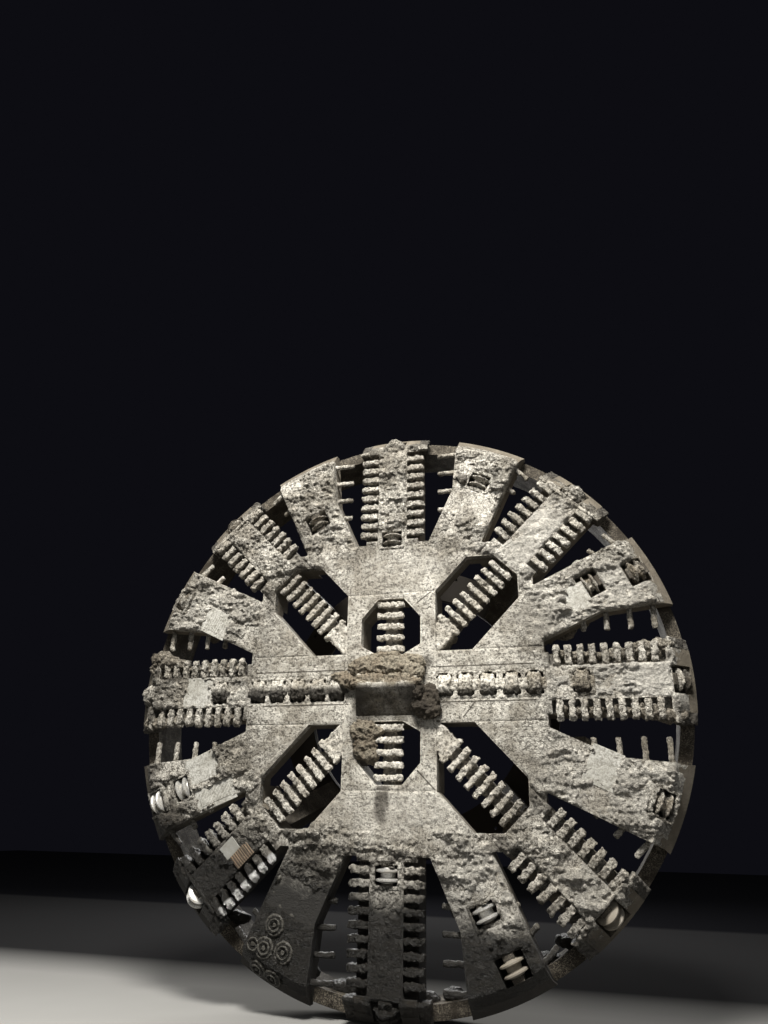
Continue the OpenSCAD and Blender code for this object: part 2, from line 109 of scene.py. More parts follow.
# Smooth plates that have shed their mud: angle, radius, across, half length, half width, turn in degrees
WEAR_PLATES = [
    (0, 3.53, 1.51, 0.20, 0.20, 24),
    (0, 3.74, -1.44, 0.22, 0.27, -24),
    (180, 4.02, 0.0, 0.26, 0.25, 0),
    (180, 3.78, -1.43, 0.27, 0.22, -24.7),
    (180, 3.75, 1.44, 0.28, 0.20, 22),
    (180, 3.40, 1.90, 0.36, 0.17, 22),
]
SLOTTED_PLATE = 2
PLATE_RIBS = {3: 9, 5: 22}
ROOT_PLATE = (225, 4.11, -0.10, 0.16, 0.13, 0)
RUSTY_PLATE = (225, 4.00, 0.16, 0.20, 0.13, 0)
BROAD_BANDS = [
    (67.5, 4.02, 0.0, 0.36, 0.60, 0),
    (247.5, 3.95, 0.02, 0.26, 0.60, 0),
]
CLEAN_PLATES = [*WEAR_PLATES, ROOT_PLATE, *BROAD_BANDS]


def on_face(angle, radius, across=0.0, out=0.0):
    """A point on the face: angle in degrees, radius along it, metres across it, metres ahead of it."""
    a = math.radians(angle)
    x = radius * math.cos(a) - across * math.sin(a)
    z = radius * math.sin(a) + across * math.cos(a)
    return Vector((x, FACE_Y - out, z))


def cutter_place(angle, radius, tilt=0):
    """The frame of a cutter: X along its shaft, Y across it, Z out of the face."""
    a, t = math.radians(angle), math.radians(tilt)
    along = Vector((math.cos(a), 0, math.sin(a)))
    across = Vector((-math.sin(a), 0, math.cos(a)))
    out = Vector((0, -1, 0))
    shaft = along * math.cos(t) - out * math.sin(t)
    ahead = along * math.sin(t) + out * math.cos(t)
    drop = max(0, radius - BEVEL_R) * BEVEL_DROP / (HEAD_R - BEVEL_R)
    place = Matrix((shaft, across, ahead)).transposed().to_4x4()
    return Matrix.Translation(on_face(angle, radius, 0, -drop)) @ place


# Small helpers for working as by hand


def only(obj):
    """Selects one object and makes it active."""
    bpy.ops.object.select_all(action="DESELECT")
    obj.select_set(True)
    bpy.context.view_layer.objects.active = obj


def settle(obj):
    """Applies an object's place to its mesh, so that the object sits at the origin."""
    only(obj)
    bpy.ops.object.transform_apply(location=True, rotation=True, scale=True)


def put(obj, place):
    """Moves an object to a place and applies that to its mesh."""
    obj.matrix_world = place
    settle(obj)
    return obj


def add(primitive, **settings):
    """Adds a primitive with nothing else selected."""
    bpy.ops.object.select_all(action="DESELECT")
    primitive(**settings)
    return bpy.context.active_object


def edit_whole(obj, operator, **settings):
    """Runs an edit mode operator on all of an object's mesh."""
    only(obj)
    bpy.ops.object.mode_set(mode="EDIT")
    bpy.ops.mesh.select_all(action="SELECT")
    operator(**settings)
    bpy.ops.object.mode_set(mode="OBJECT")


def apply_all(obj):
    only(obj)
    for modifier in list(obj.modifiers):
        bpy.ops.object.modifier_apply(modifier=modifier.name)


def join(name, parts):
    """Joins objects into one piece with its place in its mesh."""
    bpy.ops.object.select_all(action="DESELECT")
    for part in parts:
        part.select_set(True)
    bpy.context.view_layer.objects.active = parts[0]
    if len(parts) > 1:
        bpy.ops.object.join()
    whole = bpy.context.view_layer.objects.active
    whole.name = name
    whole.data.name = name
    settle(whole)
    return whole


def finish_piece(obj, material, body="head", smooth=True):
    """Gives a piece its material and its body."""
    obj.data.materials.clear()
    obj.data.materials.append(material)
    only(obj)
    if smooth:
        bpy.ops.object.shade_smooth_by_angle(angle=math.radians(45))
    else:
        bpy.ops.object.shade_flat()
    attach(obj, body)
    return obj


def per_vertex(obj, attribute):
    """Three numbers for each vertex of a mesh."""
    found = np.empty(len(obj.data.vertices) * 3, np.float32)
    obj.data.vertices.foreach_get(attribute, found)
    return found.reshape(-1, 3)


def coords(obj):
    return per_vertex(obj, "co")


def set_coords(obj, co):
    obj.data.vertices.foreach_set("co", co.astype(np.float32).ravel())
    obj.data.update()


def spread(obj, values, rounds):
    """Averages values over neighbouring vertices, so that what is low at an edge reaches inwards."""
    edges = np.empty(len(obj.data.edges) * 2, np.int32)
    obj.data.edges.foreach_get("vertices", edges)
    a, b = edges[0::2], edges[1::2]
    count = len(values)
    share = np.bincount(a, minlength=count) + np.bincount(b, minlength=count) + 1
    for step in range(rounds):
        total = values + np.bincount(a, values[b], count) + np.bincount(b, values[a], count)
        values = total / share
    return values


def weigh(obj, name, weights, steps=20):
    """Writes weights from 0 to 1 into a vertex group, in a few steps."""
    group = obj.vertex_groups.new(name=name)
    rounded = np.rint(np.clip(weights, 0, 1) * steps).astype(int)
    for step in range(1, steps + 1):
        chosen = np.nonzero(rounded == step)[0]
        if len(chosen):
            group.add(chosen.tolist(), step / steps, "REPLACE")


def step_up(value, low, high):
    """Smooth step from 0 at low to 1 at high."""
    t = np.clip((value - low) / (high - low), 0, 1)
    return t * t * (3 - 2 * t)


def cloud(name, size, depth=2, contrast=1.0):
    """A procedural cloud for displacing meshes, with lumps of one size. Contrast gives it plateaus."""
    made = bpy.data.textures.new(name, "CLOUDS")
    made.noise_scale = size
    made.noise_depth = depth
    made.contrast = contrast
    return made


def cells(name, size):
    """A procedural texture of rounded cells, low in their middles."""
    made = bpy.data.textures.new(name, "VORONOI")
    made.noise_scale = size
    made.distance_metric = "DISTANCE_SQUARED"
    return made


CRUST = cloud("mud_crust", 0.55, 5, 5.0)
FLAKES = cloud("mud_flakes", 0.20, 3, 4.0)
LUMPS = cloud("mud_lumps", 0.13, 2)
CLODS = cloud("mud_clods", 0.06, 1, 1.6)
COBBLES = cells("mud_cobbles", 0.085)

# An empty whose axes draw textures out sideways, as the mud's ledges lie
LEDGE_AXES = bpy.data.objects.new("ledge_axes", None)
bpy.context.scene.collection.objects.link(LEDGE_AXES)
LEDGE_AXES.scale = (2.6, 1.0, 1.0)
bpy.context.view_layer.update()


def displace(obj, texture, strength, level=0.5, group="", drawn_out=False):
    """Adds a displacement, by a texture or by a plain distance, on a vertex group or on the whole mesh."""
    modifier = obj.modifiers.new("displace", "DISPLACE")
    modifier.strength = strength
    modifier.mid_level = level
    modifier.texture_coords = "LOCAL"
    if drawn_out:
        modifier.texture_coords = "OBJECT"
        modifier.texture_coords_object = LEDGE_AXES
    modifier.texture = texture
    modifier.vertex_group = group


def remesh(obj, voxel):
    modifier = obj.modifiers.new("remesh", "REMESH")
    modifier.mode = "VOXEL"
    modifier.voxel_size = voxel
    apply_all(obj)


def flatten_rest(obj, degrees=2.0, keep=0.5):
    """Merges the faces that are still flat, such as a hidden back, and thins the rest to a share."""
    flat = obj.modifiers.new("flat", "DECIMATE")
    flat.decimate_type = "DISSOLVE"
    flat.angle_limit = math.radians(degrees)
    apply_all(obj)
    thin = obj.modifiers.new("thin", "DECIMATE")
    thin.ratio = keep
    apply_all(obj)
    co = coords(obj)
    co[:, 1] = np.maximum(co[:, 1], CAD_BOX[0][1] + MUD_GAP)
    set_coords(obj, co)


def keep_in_head(obj):
    """Keeps mud inside the radius that the head bores."""
    co = coords(obj)
    radius = np.hypot(co[:, 0], co[:, 2])
    limit = HEAD_R - 4 * MUD_GAP
    share = np.where(radius > limit, limit / np.maximum(radius, 1e-6), 1.0)
    co[:, 0] *= share
    co[:, 2] *= share
    set_coords(obj, co)


# Shading

FLOAT = "NodeSocketFloat"
COLOUR = "NodeSocketColor"
VECTOR = "NodeSocketVector"


class Shading:
    """Adds nodes to one shader tree. A value is a number, a colour, a vector or another node's output."""

    def __init__(self, tree):
        self.tree = tree

    def feed(self, socket, value):
        """Links an output to a socket, or sets the socket to a plain value."""
        if isinstance(value, bpy.types.NodeSocket):
            self.tree.links.new(value, socket)
        elif socket.type == "RGBA":
            socket.default_value = (*value, 1)
        else:
            socket.default_value = value

    def node(self, kind, inputs, **settings):
        made = self.tree.nodes.new(kind)
        for name, value in settings.items():
            setattr(made, name, value)
        for key, value in inputs.items():
            self.feed(made.inputs[key], value)
        return made

    def group(self, tree, inputs):
        return self.node("ShaderNodeGroup", inputs, node_tree=tree).outputs

    def place(self):
        """Where a point lies on the object."""
        return self.node("ShaderNodeTexCoord", {}).outputs["Object"]

    def axes(self):
        """X, Y and Z of a point on the object."""
        return list(self.node("ShaderNodeSeparateXYZ", {0: self.place()}).outputs)

    def noise(self, scale, detail=4.0, rough=0.6, vector=None):
        place = self.place() if vector is None else vector
        inputs = {"Scale": scale, "Detail": detail, "Roughness": rough, "Vector": place}
        return self.node("ShaderNodeTexNoise", inputs).outputs["Fac"]

    def ramp(self, value, low, high, first=0.0, last=1.0):
        """Maps low to high onto first to last, clamped."""
        inputs = {"Value": value, "From Min": low, "From Max": high, "To Min": first, "To Max": last}
        return self.node("ShaderNodeMapRange", inputs, clamp=True).outputs["Result"]

    def math(self, operation, a, b=0.0):
        return self.node("ShaderNodeMath", {0: a, 1: b}, operation=operation).outputs[0]

    def times(self, a, b):
        return self.math("MULTIPLY", a, b)

    def plus(self, a, b):
        return self.math("ADD", a, b)

    def size(self, a):
        return self.math("ABSOLUTE", a)

    def length(self, a, b):
        return self.math("SQRT", self.plus(self.times(a, a), self.times(b, b)))

    def most(self, masks):
        """The highest of some masks."""
        total = masks[0]
        for mask in masks[1:]:
            total = self.math("MAXIMUM", total, mask)
        return total

    def vector(self, operation, a, b):
        return self.node("ShaderNodeVectorMath", {0: a, 1: b}, operation=operation)

    def mix(self, mask, a, b):
        """Colour a where a mask is 0, colour b where it is 1."""
        return self.node("ShaderNodeMix", {0: mask, 6: a, 7: b}, data_type="RGBA").outputs[2]

    def bump(self, finish, height, distance, strength=1.0):
        inputs = {"Height": height, "Strength": strength, "Distance": distance}
        self.feed(finish["Normal"], self.node("ShaderNodeBump", inputs).outputs["Normal"])


def new_group(name, inputs, outputs):
    """An empty shader group. inputs are (name, type, value), and outputs are (name, type). Returns its
    shading, what comes in and what goes out."""
    group = bpy.data.node_groups.new(name, "ShaderNodeTree")
    for label, kind, value in inputs:
        socket = group.interface.new_socket(label, in_out="INPUT", socket_type=kind)
        socket.default_value = (*value, 1) if kind == COLOUR else value
    for label, kind in outputs:
        group.interface.new_socket(label, in_out="OUTPUT", socket_type=kind)
    given = group.nodes.new("NodeGroupInput").outputs
    return Shading(group), given, group.nodes.new("NodeGroupOutput").inputs


def make_mud_group():
    """Dried mud: a crumbly height, a mottled colour that is partly painted shade in its low points and along
    its ledges, and a mask that grows towards the lower left for damp mud and painted shade.
    """
    shade, given, out = new_group(
        "dried_mud",
        [
            ("Coarseness", FLOAT, 1.0),
            ("Dry", COLOUR, (0.37, 0.336, 0.277)),
            ("Pale", COLOUR, (0.74, 0.695, 0.605)),
            ("Shade", COLOUR, (0.045, 0.037, 0.027)),
            ("Damp_and_shade", COLOUR, (0.019, 0.017, 0.014)),
        ],
        [("Color", COLOUR), ("Height", FLOAT), ("Wet_and_shade", FLOAT)],
    )
    mix, noise, ramp, plus, times = shade.mix, shade.noise, shade.ramp, shade.plus, shade.times
    x, _, z = shade.axes()
    drawn = shade.node("ShaderNodeMapping", {"Vector": shade.place(), "Scale": (0.42, 1.0, 1.0)})
    ledges = noise(5.0, 6.0, 0.66, drawn.outputs["Vector"])
    crumb = noise(15.0, 4.0, 0.75)
    grain = noise(34.0, 3.0, 0.8)
    holes = noise(21.0, 2.0, 0.7)
    patches = noise(1.1)
    tone = noise(4.5, 3.0)
    blocks = shade.node("ShaderNodeTexVoronoi", {"Scale": 6.5, "Vector": shade.place()},
                        feature="DISTANCE_TO_EDGE")

    outer = ramp(plus(shade.length(x, z), times(tone, 0.8)), 2.6, 3.4)
    rough = plus(times(outer, 0.75), 0.25)
    # The mask towards the lower left stands for damp, glossier mud and paints shade there as well.
    level = plus(plus(z, times(x, 0.225)), times(plus(patches, -0.5), 1.6))
    wet_and_shade = ramp(level, -2.8, -3.7)
    # Thin dark lines along the ledges are painted shadow under them.
    lines = [ramp(shade.size(plus(ledges, -middle)), 0.013, 0.003) for middle in (0.43, 0.49, 0.55)]
    cracks = times(ramp(blocks.outputs["Distance"], 0.055, 0.01), ramp(tone, 0.44, 0.56))
    marks = times(shade.most([*lines, cracks]), times(outer, 0.62))

    steps = plus(plus(ramp(ledges, 0.44, 0.455), ramp(ledges, 0.50, 0.515)), ramp(ledges, 0.56, 0.575))
    height = times(times(steps, given["Coarseness"]), times(rough, 0.42))
    height = plus(height, plus(times(crumb, plus(times(rough, 0.6), 0.2)), times(grain, 1.1)))
    height = plus(height, times(ramp(holes, 0.40, 0.47), 0.30))
    height = plus(height, times(marks, -0.35))

    colour = mix(ramp(plus(times(patches, 0.6), times(tone, 0.4)), 0.42, 0.60), given["Dry"], given["Pale"])
    # Specks, pits and hollows lie in the low points of the height. Mixing them and the ledge and crack lines
    # towards the Shade colour is partly dark grain and partly painted shade.
    specks = times(ramp(grain, 0.50, 0.34), 0.62)
    pits = times(ramp(holes, 0.445, 0.41), 0.62)
    hollows = times(ramp(crumb, 0.46, 0.39), times(rough, 0.85))
    for mask in (specks, pits, hollows, marks):
        colour = mix(mask, colour, given["Shade"])
    # The damp colour towards the lower left is partly damp mud and partly painted shade.
    shade.feed(out["Color"], mix(wet_and_shade, colour, given["Damp_and_shade"]))
    shade.feed(out["Height"], height)
    shade.feed(out["Wet_and_shade"], wet_and_shade)
    return shade.tree


def make_steel_group():
    """Worn steel: brushed streaks, dark pits and a mud film that comes and goes."""
    shade, given, out = new_group(
        "worn_steel",
        [
            ("Steel", COLOUR, (0.55, 0.53, 0.49)),
            ("Film", COLOUR, (0.33, 0.28, 0.20)),
            ("Film Amount", FLOAT, 0.5),
        ],
        [("Color", COLOUR), ("Height", FLOAT), ("Bare", FLOAT)],
    )
    patches = shade.noise(3.5, 5.0)
    grain = shade.noise(60.0)
    film = shade.ramp(shade.plus(patches, given["Film Amount"]), 0.85, 1.15)
    steel = shade.mix(shade.ramp(grain, 0.45, 0.7), given["Steel"], (0.30, 0.26, 0.20))
    shade.feed(out["Color"], shade.mix(film, steel, given["Film"]))
    shade.feed(out["Height"], shade.plus(shade.times(film, 0.7), shade.times(grain, 0.4)))
    shade.feed(out["Bare"], shade.math("SUBTRACT", 1.0, film))
    return shade.tree


def make_seam_group():
    """A dark line on the face from one point to another, with Y left out."""
    shade, given, out = new_group(
        "seam_line",
        [("From", VECTOR, (0, 0, 0)), ("To", VECTOR, (1, 0, 0)), ("Width", FLOAT, 0.012)],
        [("Line", FLOAT)],
    )
    flat = shade.vector("MULTIPLY", shade.place(), (1, 0, 1)).outputs[0]
    span = shade.vector("SUBTRACT", given["To"], given["From"]).outputs[0]
    reach = shade.vector("SUBTRACT", flat, given["From"]).outputs[0]
    along = shade.math("DIVIDE", shade.vector("DOT_PRODUCT", reach, span).outputs["Value"],
                       shade.vector("DOT_PRODUCT", span, span).outputs["Value"])
    share = shade.ramp(along, 0.0, 1.0)
    nearest = shade.node("ShaderNodeVectorMath", {0: span, "Scale": share}, operation="SCALE").outputs[0]
    away = shade.vector("SUBTRACT", reach, nearest).outputs[0]
    distance = shade.node("ShaderNodeVectorMath", {0: away}, operation="LENGTH").outputs["Value"]
    width = shade.times(given["Width"], shade.plus(shade.noise(14.0, 2.0), 0.6))
    shade.feed(out["Line"], shade.math("LESS_THAN", distance, width))
    return shade.tree


# Joints between the welded plates, as X and Z of both ends
SEAMS = [
    ((0.81, 0.351), (2.70, 0.351)),
    ((0.81, -0.297), (2.70, -0.297)),
    ((-0.81, 0.351), (-2.75, 0.351)),
    ((-0.81, -0.297), (-2.55, -0.297)),
    ((1.62, -0.30), (1.40, -0.567)),
    ((0.54, -1.485), (0.864, -1.81)),
    ((0.54, 1.62), (0.864, 1.863)),
    ((-3.672, 1.674), (-3.02, 1.296)),
    ((3.95, -0.97), (3.58, -2.05)),
    ((-0.80, -1.50), (-1.15, -1.85)),
]

# Dark patches on the face, partly damp stains and partly painted shade: X and Z of the middle, half sizes,
# strength
STAINS_AND_SHADE = [
    (-0.12, -1.98, 0.15, 0.40, 0.75),
    (0.62, 0.44, 0.26, 0.15, 0.75),
    (0.93, -0.66, 0.05, 0.05, 1.0),
    (-0.55, -0.62, 0.30, 0.14, 0.5),
    (0.95, -0.28, 0.25, 0.20, 0.55),
    (1.72, 4.15, 0.55, 0.20, 0.7),
    (-4.6, 0.38, 0.8, 0.14, 0.8),
    (-1.9, 3.3, 0.45, 0.25, 0.5),
    (-4.30, -2.15, 0.50, 0.45, 0.6),
    (-4.90, -1.75, 0.35, 0.50, 0.65),
    (4.1, 0.42, 0.9, 0.06, 0.5),
    (-5.0, 0.15, 0.35, 0.75, 0.45),
    (1.55, 4.10, 0.60, 0.30, 0.6),
    (-2.6, 3.9, 0.35, 0.30, 0.4),
    (2.9, 3.9, 0.5, 0.16, 0.5),
    (-3.9, 2.75, 0.4, 0.25, 0.45),
    (0.45, -2.95, 0.5, 0.12, 0.4),
    (1.25, 4.35, 0.5, 0.25, 0.5),
    (3.35, 3.75, 0.5, 0.2, 0.35),
]

# Drier, paler zones of the face, with the same columns
PALE_ZONES = [
    (2.75, 2.75, 0.85, 0.85, 0.8),
    (4.75, 0.05, 0.40, 0.35, 0.8),
    (4.25, 1.75, 0.75, 0.45, 0.6),
    (4.3, -0.1, 1.4, 0.7, 0.75),
    (4.0, -1.7, 1.4, 0.8, 0.45),
    (1.7, -3.3, 0.9, 0.6, 0.55),
    (3.5, 1.3, 1.0, 0.6, 0.5),
    (-3.9, 1.6, 0.9, 0.5, 0.45),
    (0.3, 2.2, 0.9, 0.5, 0.15),
    (-3.6, 0.0, 0.6, 0.3, 0.4),
    (0.2, -2.2, 1.2, 0.4, 0.35),
    (3.4, -3.2, 0.5, 0.5, 0.4),
]


def oval_masks(shade, rows, wobble, edge, core=1.2):
    """A mask for each oval zone, which fades from its core to its edge."""
    x, _, z = shade.axes()
    masks = []
    for middle_x, middle_z, half_x, half_z, strength in rows:
        u = shade.math("DIVIDE", shade.plus(x, -middle_x), half_x)
        v = shade.math("DIVIDE", shade.plus(z, -middle_z), half_z)
        reach = shade.plus(shade.length(u, v), wobble)
        masks.append(shade.times(shade.ramp(reach, edge, core), strength))
    return masks


def make_shade_and_stain_group():
    """A mask of painted shade on the spokes' edges between the scrapers, and of dark patches that are partly
    damp stains and partly painted shade.
    """
    shade, _, out = new_group("shade_and_stains", [], [("Shade_and_stains", FLOAT)])
    x, _, z = shade.axes()
    aslant = math.sqrt(0.5)
    falling = shade.times(shade.math("SUBTRACT", x, z), aslant)
    rising = shade.times(shade.plus(x, z), aslant)
    bands = []
    for line in (z, x, falling, rising):
        across = shade.size(line)
        bands.append(shade.times(shade.ramp(across, 0.33, 0.38), shade.ramp(across, 0.60, 0.57)))
    spokes_only = shade.ramp(shade.length(x, z), 2.85, 3.0)
    # Painted shade on the spokes' edges between the scrapers.
    shoulder_shade = shade.times(shade.times(shade.most(bands), spokes_only), 0.5)
    wobble = shade.times(shade.noise(5.0), 1.1)
    shade.feed(out["Shade_and_stains"], shade.most([shoulder_shade, *oval_masks(shade, STAINS_AND_SHADE, wobble, 1.75)]))
    return shade.tree


def make_pale_group():
    """A mask of the drier zones."""
    shade, _, out = new_group("pale_zones", [], [("Pale", FLOAT)])
    wobble = shade.times(shade.noise(3.0, 5.0), 1.2)
    shade.feed(out["Pale"], shade.most(oval_masks(shade, PALE_ZONES, wobble, 1.9)))
    return shade.tree


def make_plate_group():
    """A mask of the two broad bare bands across panels, and one of the thin dark line round them."""
    shade, _, out = new_group("plate_zones", [], [("Plate", FLOAT), ("Line", FLOAT)])
    x, _, z = shade.axes()
    plus, times = shade.plus, shade.times
    wobble = times(shade.noise(9.0), 0.12)
    plates, lines = [], []
    for angle, radius, across, half_r, half_t, _ in BROAD_BANDS:
        cos, sin = math.cos(math.radians(angle)), math.sin(math.radians(angle))
        along = shade.size(plus(plus(times(x, cos), times(z, sin)), -radius))
        aside = shade.size(plus(plus(times(x, -sin), times(z, cos)), -across))
        beyond = shade.most([plus(along, -half_r), plus(aside, -half_t)])
        torn = plus(beyond, plus(wobble, -0.06))
        plates.append(shade.ramp(torn, 0.012, -0.012))
        lines.append(shade.ramp(shade.size(beyond), 0.016, 0.004))
    shade.feed(out["Plate"], shade.most(plates))
    shade.feed(out["Line"], shade.most(lines))
    return shade.tree


MUD_GROUP = make_mud_group()
STEEL_GROUP = make_steel_group()
SEAM_GROUP = make_seam_group()
SHADE_AND_STAIN_GROUP = make_shade_and_stain_group()
PALE_GROUP = make_pale_group()
PLATE_GROUP = make_plate_group()

# Materials


def reopen(material):
    """A material's shading and the inputs of its shader."""
    return Shading(material.node_tree), material.node_tree.nodes["Principled BSDF"].inputs


def base_material(name):
    material = bpy.data.materials.new(name)
    material.use_nodes = True
    return material, *reopen(material)


def add_seams(shade, colour):
    """Darkens a colour along the joints between plates."""
    lines = []
    for start, end in SEAMS:
        ends = {"From": (start[0], 0, start[1]), "To": (end[0], 0, end[1])}
        lines.append(shade.group(SEAM_GROUP, ends)["Line"])
    return shade.mix(shade.times(shade.most(lines), 0.8), colour, (0.035, 0.028, 0.02))


def add_face_marks(shade, colour, wet_and_shade, plates):
    """Lays pale zones, bare bands, dark patches of damp stains and painted shade, and seams over the mud of
    the face.
    """
    pale = shade.times(shade.group(PALE_GROUP, {})["Pale"], 0.6)
    colour = shade.mix(pale, colour, (0.76, 0.72, 0.64))
    cover = shade.mix(shade.noise(2.2, 5.0), (0.10, 0.088, 0.068), (0.30, 0.278, 0.235))
    # The bare bands darken towards the lower left too: partly damp, partly painted shade.
    cover = shade.mix(wet_and_shade, cover, (0.080, 0.075, 0.062))
    colour = shade.mix(shade.times(plates["Plate"], 0.85), colour, cover)
    colour = shade.mix(shade.times(plates["Line"], 0.6), colour, (0.035, 0.029, 0.022))
    # Dark patches: painted shade between the scrapers, and damp stains mixed with painted shade.
    colour = shade.mix(shade.group(SHADE_AND_STAIN_GROUP, {})["Shade_and_stains"], colour, (0.045, 0.037, 0.028))
    return add_seams(shade, colour)


def shade_below(shade, colour, below, worn):
    """Paints shade on what lies under a level, and lightens that shade again in streaks in the middle of the
    nose.
    """
    x, _, z = shade.axes()
    under = shade.times(shade.ramp(z, *below), 0.88)
    # worn sets how much the streaks in the middle of the nose lighten the painted shade.
    if worn:
        middle = shade.ramp(shade.size(x), 0.50, 0.22)
        streaks = shade.ramp(shade.noise(5.0), 0.35, 0.6)
        under = shade.times(under, shade.plus(shade.times(shade.times(middle, streaks), -worn), 1.0))
    return shade.mix(under, colour, (0.022, 0.018, 0.014))


def bare_tips(shade):
    """A mask of the bare tips of the scrapers on the lower edge of the lower left spoke."""
    x, _, z = shade.axes()
    diagonal = math.sqrt(2)
    tips = shade.ramp(shade.math("SUBTRACT", x, z), 0.50 * diagonal, 0.54 * diagonal)
    inside = shade.ramp(shade.plus(x, z), -4.90 * diagonal, -4.86 * diagonal)
    return shade.times(tips, inside)


def mud_material(name, coarseness, dry, relief=0.03, tones=None, marked=False, depth=None, below=None,
                 tips=False, worn=0.0):
    """Matt mud that turns dark and a little shiny towards the bottom of the head, as damp mud and as painted
    shade. tones replace some of its colours, marked adds the marks of the face, depth paints shade on what
    lies behind it, and below paints shade on what lies under a level."""
    material, shade, finish = base_material(name)
    mud = shade.group(MUD_GROUP, {"Coarseness": coarseness, "Dry": dry, **(tones or {})})
    colour, height = mud["Color"], mud["Height"]
    if marked:
        plates = shade.group(PLATE_GROUP, {})
        colour = add_face_marks(shade, colour, mud["Wet_and_shade"], plates)
        height = shade.times(height, shade.ramp(plates["Plate"], 1.15, 0.0))
    if depth is not None:
        # Painted shade on what lies deeper than the face, such as the scrapers' roots and the rungs'
        # carriers.
        behind = shade.ramp(shade.axes()[1], FACE_Y + depth[0], FACE_Y + depth[1])
        colour = shade.mix(shade.times(behind, 0.85), colour, (0.030, 0.025, 0.020))
    if below is not None:
        # Painted shade under a level, such as the lower halves of the caked cutters and the underside of the
        # nose.
        colour = shade_below(shade, colour, below, worn)
    if tips:
        bare = bare_tips(shade)
        colour = shade.mix(bare, colour, (0.55, 0.54, 0.52))
        shade.feed(finish["Metallic"], shade.times(bare, 0.6))
    shade.feed(finish["Base Color"], colour)
    shade.feed(finish["Roughness"], shade.ramp(mud["Wet_and_shade"], 0.0, 1.0, 0.92, 0.36))
    shade.feed(finish["Specular IOR Level"], 0.3)
    shade.bump(finish, height, relief)
    return material


def steel_material(name, steel, film, film_amount, metallic, roughness, relief=0.004, gloss=0.5):
    """Worn steel under a broken film of mud."""
    material, shade, finish = base_material(name)
    worn = shade.group(STEEL_GROUP, {"Steel": steel, "Film": film, "Film Amount": film_amount})
    shade.feed(finish["Base Color"], worn["Color"])
    shade.feed(finish["Metallic"], shade.times(worn["Bare"], metallic))
    shade.feed(finish["Roughness"], shade.ramp(worn["Bare"], 0.0, 1.0, 0.9, roughness))
    shade.feed(finish["Specular IOR Level"], gloss)
    shade.bump(finish, worn["Height"], relief)
    return material


def face_material(name):
    """Mud on the face and a muddy steel wall behind it, split at the face's depth."""
    material, shade, finish = base_material(name)
    mud = shade.group(MUD_GROUP, {})
    steel = {"Steel": (0.16, 0.135, 0.10), "Film": (0.12, 0.10, 0.072), "Film Amount": 0.6}
    # The wall turns near black towards the lower left: partly damp steel, partly painted shade.
    wall = shade.mix(mud["Wet_and_shade"], shade.group(STEEL_GROUP, steel)["Color"], (0.018, 0.015, 0.012))
    depth = shade.ramp(shade.axes()[1], FACE_Y + 0.01, FACE_Y + 0.06)
    shade.feed(finish["Base Color"], shade.mix(depth, mud["Color"], wall))
    shade.feed(finish["Roughness"], 0.85)
    shade.bump(finish, mud["Height"], 0.015, 0.7)
    return material


def stripe_ribs(material, pitch, depth):
    """Paints shade into the grooves between the ribs of the plate on the lower left spoke."""
    shade, finish = reopen(material)
    colour = finish["Base Color"].links[0].from_socket
    x, _, z = shade.axes()
    wave = shade.math("FRACT", shade.times(shade.plus(x, z), 1 / (pitch * math.sqrt(2))))
    # The grooves take a near-black colour: painted shade.
    groove = shade.times(shade.ramp(shade.size(shade.plus(wave, -0.5)), 0.22, 0.30), depth)
    shade.feed(finish["Base Color"], shade.mix(groove, colour, (0.030, 0.022, 0.015)))
    return material


def paint_front_shade(material, level):
    """Covers what lies ahead of a level with painted shade, a near-black colour, and takes its metal away
    there.
    """
    shade, finish = reopen(material)
    colour = finish["Base Color"].links[0].from_socket
    metal = finish["Metallic"].links[0].from_socket
    bare = shade.ramp(shade.axes()[1], level - 0.03, level)
    shade.feed(finish["Base Color"], shade.mix(bare, (0.03, 0.026, 0.022), colour))
    shade.feed(finish["Metallic"], shade.times(metal, bare))
    return material


DRY_MUD = (0.37, 0.336, 0.277)
PALE_MUD = (0.45, 0.41, 0.34)
BROWN_MUD = (0.27, 0.24, 0.19)

# In these materials depth paints shade on what lies behind a level, below paints shade on what lies under
# one, and worn lightens that shade in streaks in the middle of the nose.
ROUGH_MUD = mud_material("rough_mud", 1.0, DRY_MUD)
SKIN_MUD = mud_material("face_skin_mud", 1.0, DRY_MUD, marked=True)
CAKE_MUD = mud_material("cake_mud", 0.8, (0.27, 0.228, 0.168), 0.02, depth=(0.02, 0.12))
HEAP_MUD = mud_material("heap_mud", 1.0, (0.235, 0.19, 0.135), 0.03, {"Pale": (0.33, 0.29, 0.22)},
                        depth=(0.5, 0.6))
CAKE_HEAP = mud_material("cake_heap_mud", 1.0, (0.25, 0.215, 0.165), 0.03, {"Pale": (0.52, 0.47, 0.385)})
DARK_MUD = mud_material("dark_heap_mud", 1.0, (0.040, 0.032, 0.024), 0.03, {"Pale": (0.085, 0.070, 0.052)})
CLOG_MUD = mud_material("clog_mud", 1.0, (0.13, 0.102, 0.072), 0.03, {"Pale": (0.30, 0.26, 0.195)})
REAR_MUD = mud_material("rear_mud", 0.8, (0.16, 0.138, 0.105), 0.02, {"Pale": (0.29, 0.255, 0.20)})
UNDER_MUD = mud_material("nose_mud", 0.5, (0.27, 0.235, 0.175), 0.01, below=(0.04, -0.02), worn=0.45)
ROW_MUD = mud_material("row_mud", 0.8, (0.33, 0.288, 0.222), 0.02, depth=(0.0, 0.08), below=(-0.02, -0.16))
HOLLOW_MUD = mud_material("hollow_mud", 0.8, (0.37, 0.333, 0.27), 0.02, depth=(0.0, 0.06),
                          below=(0.07, -0.02))
TOOTH_MUD = mud_material("tooth_mud", 0.8, PALE_MUD, 0.02, depth=(-0.03, 0.12))
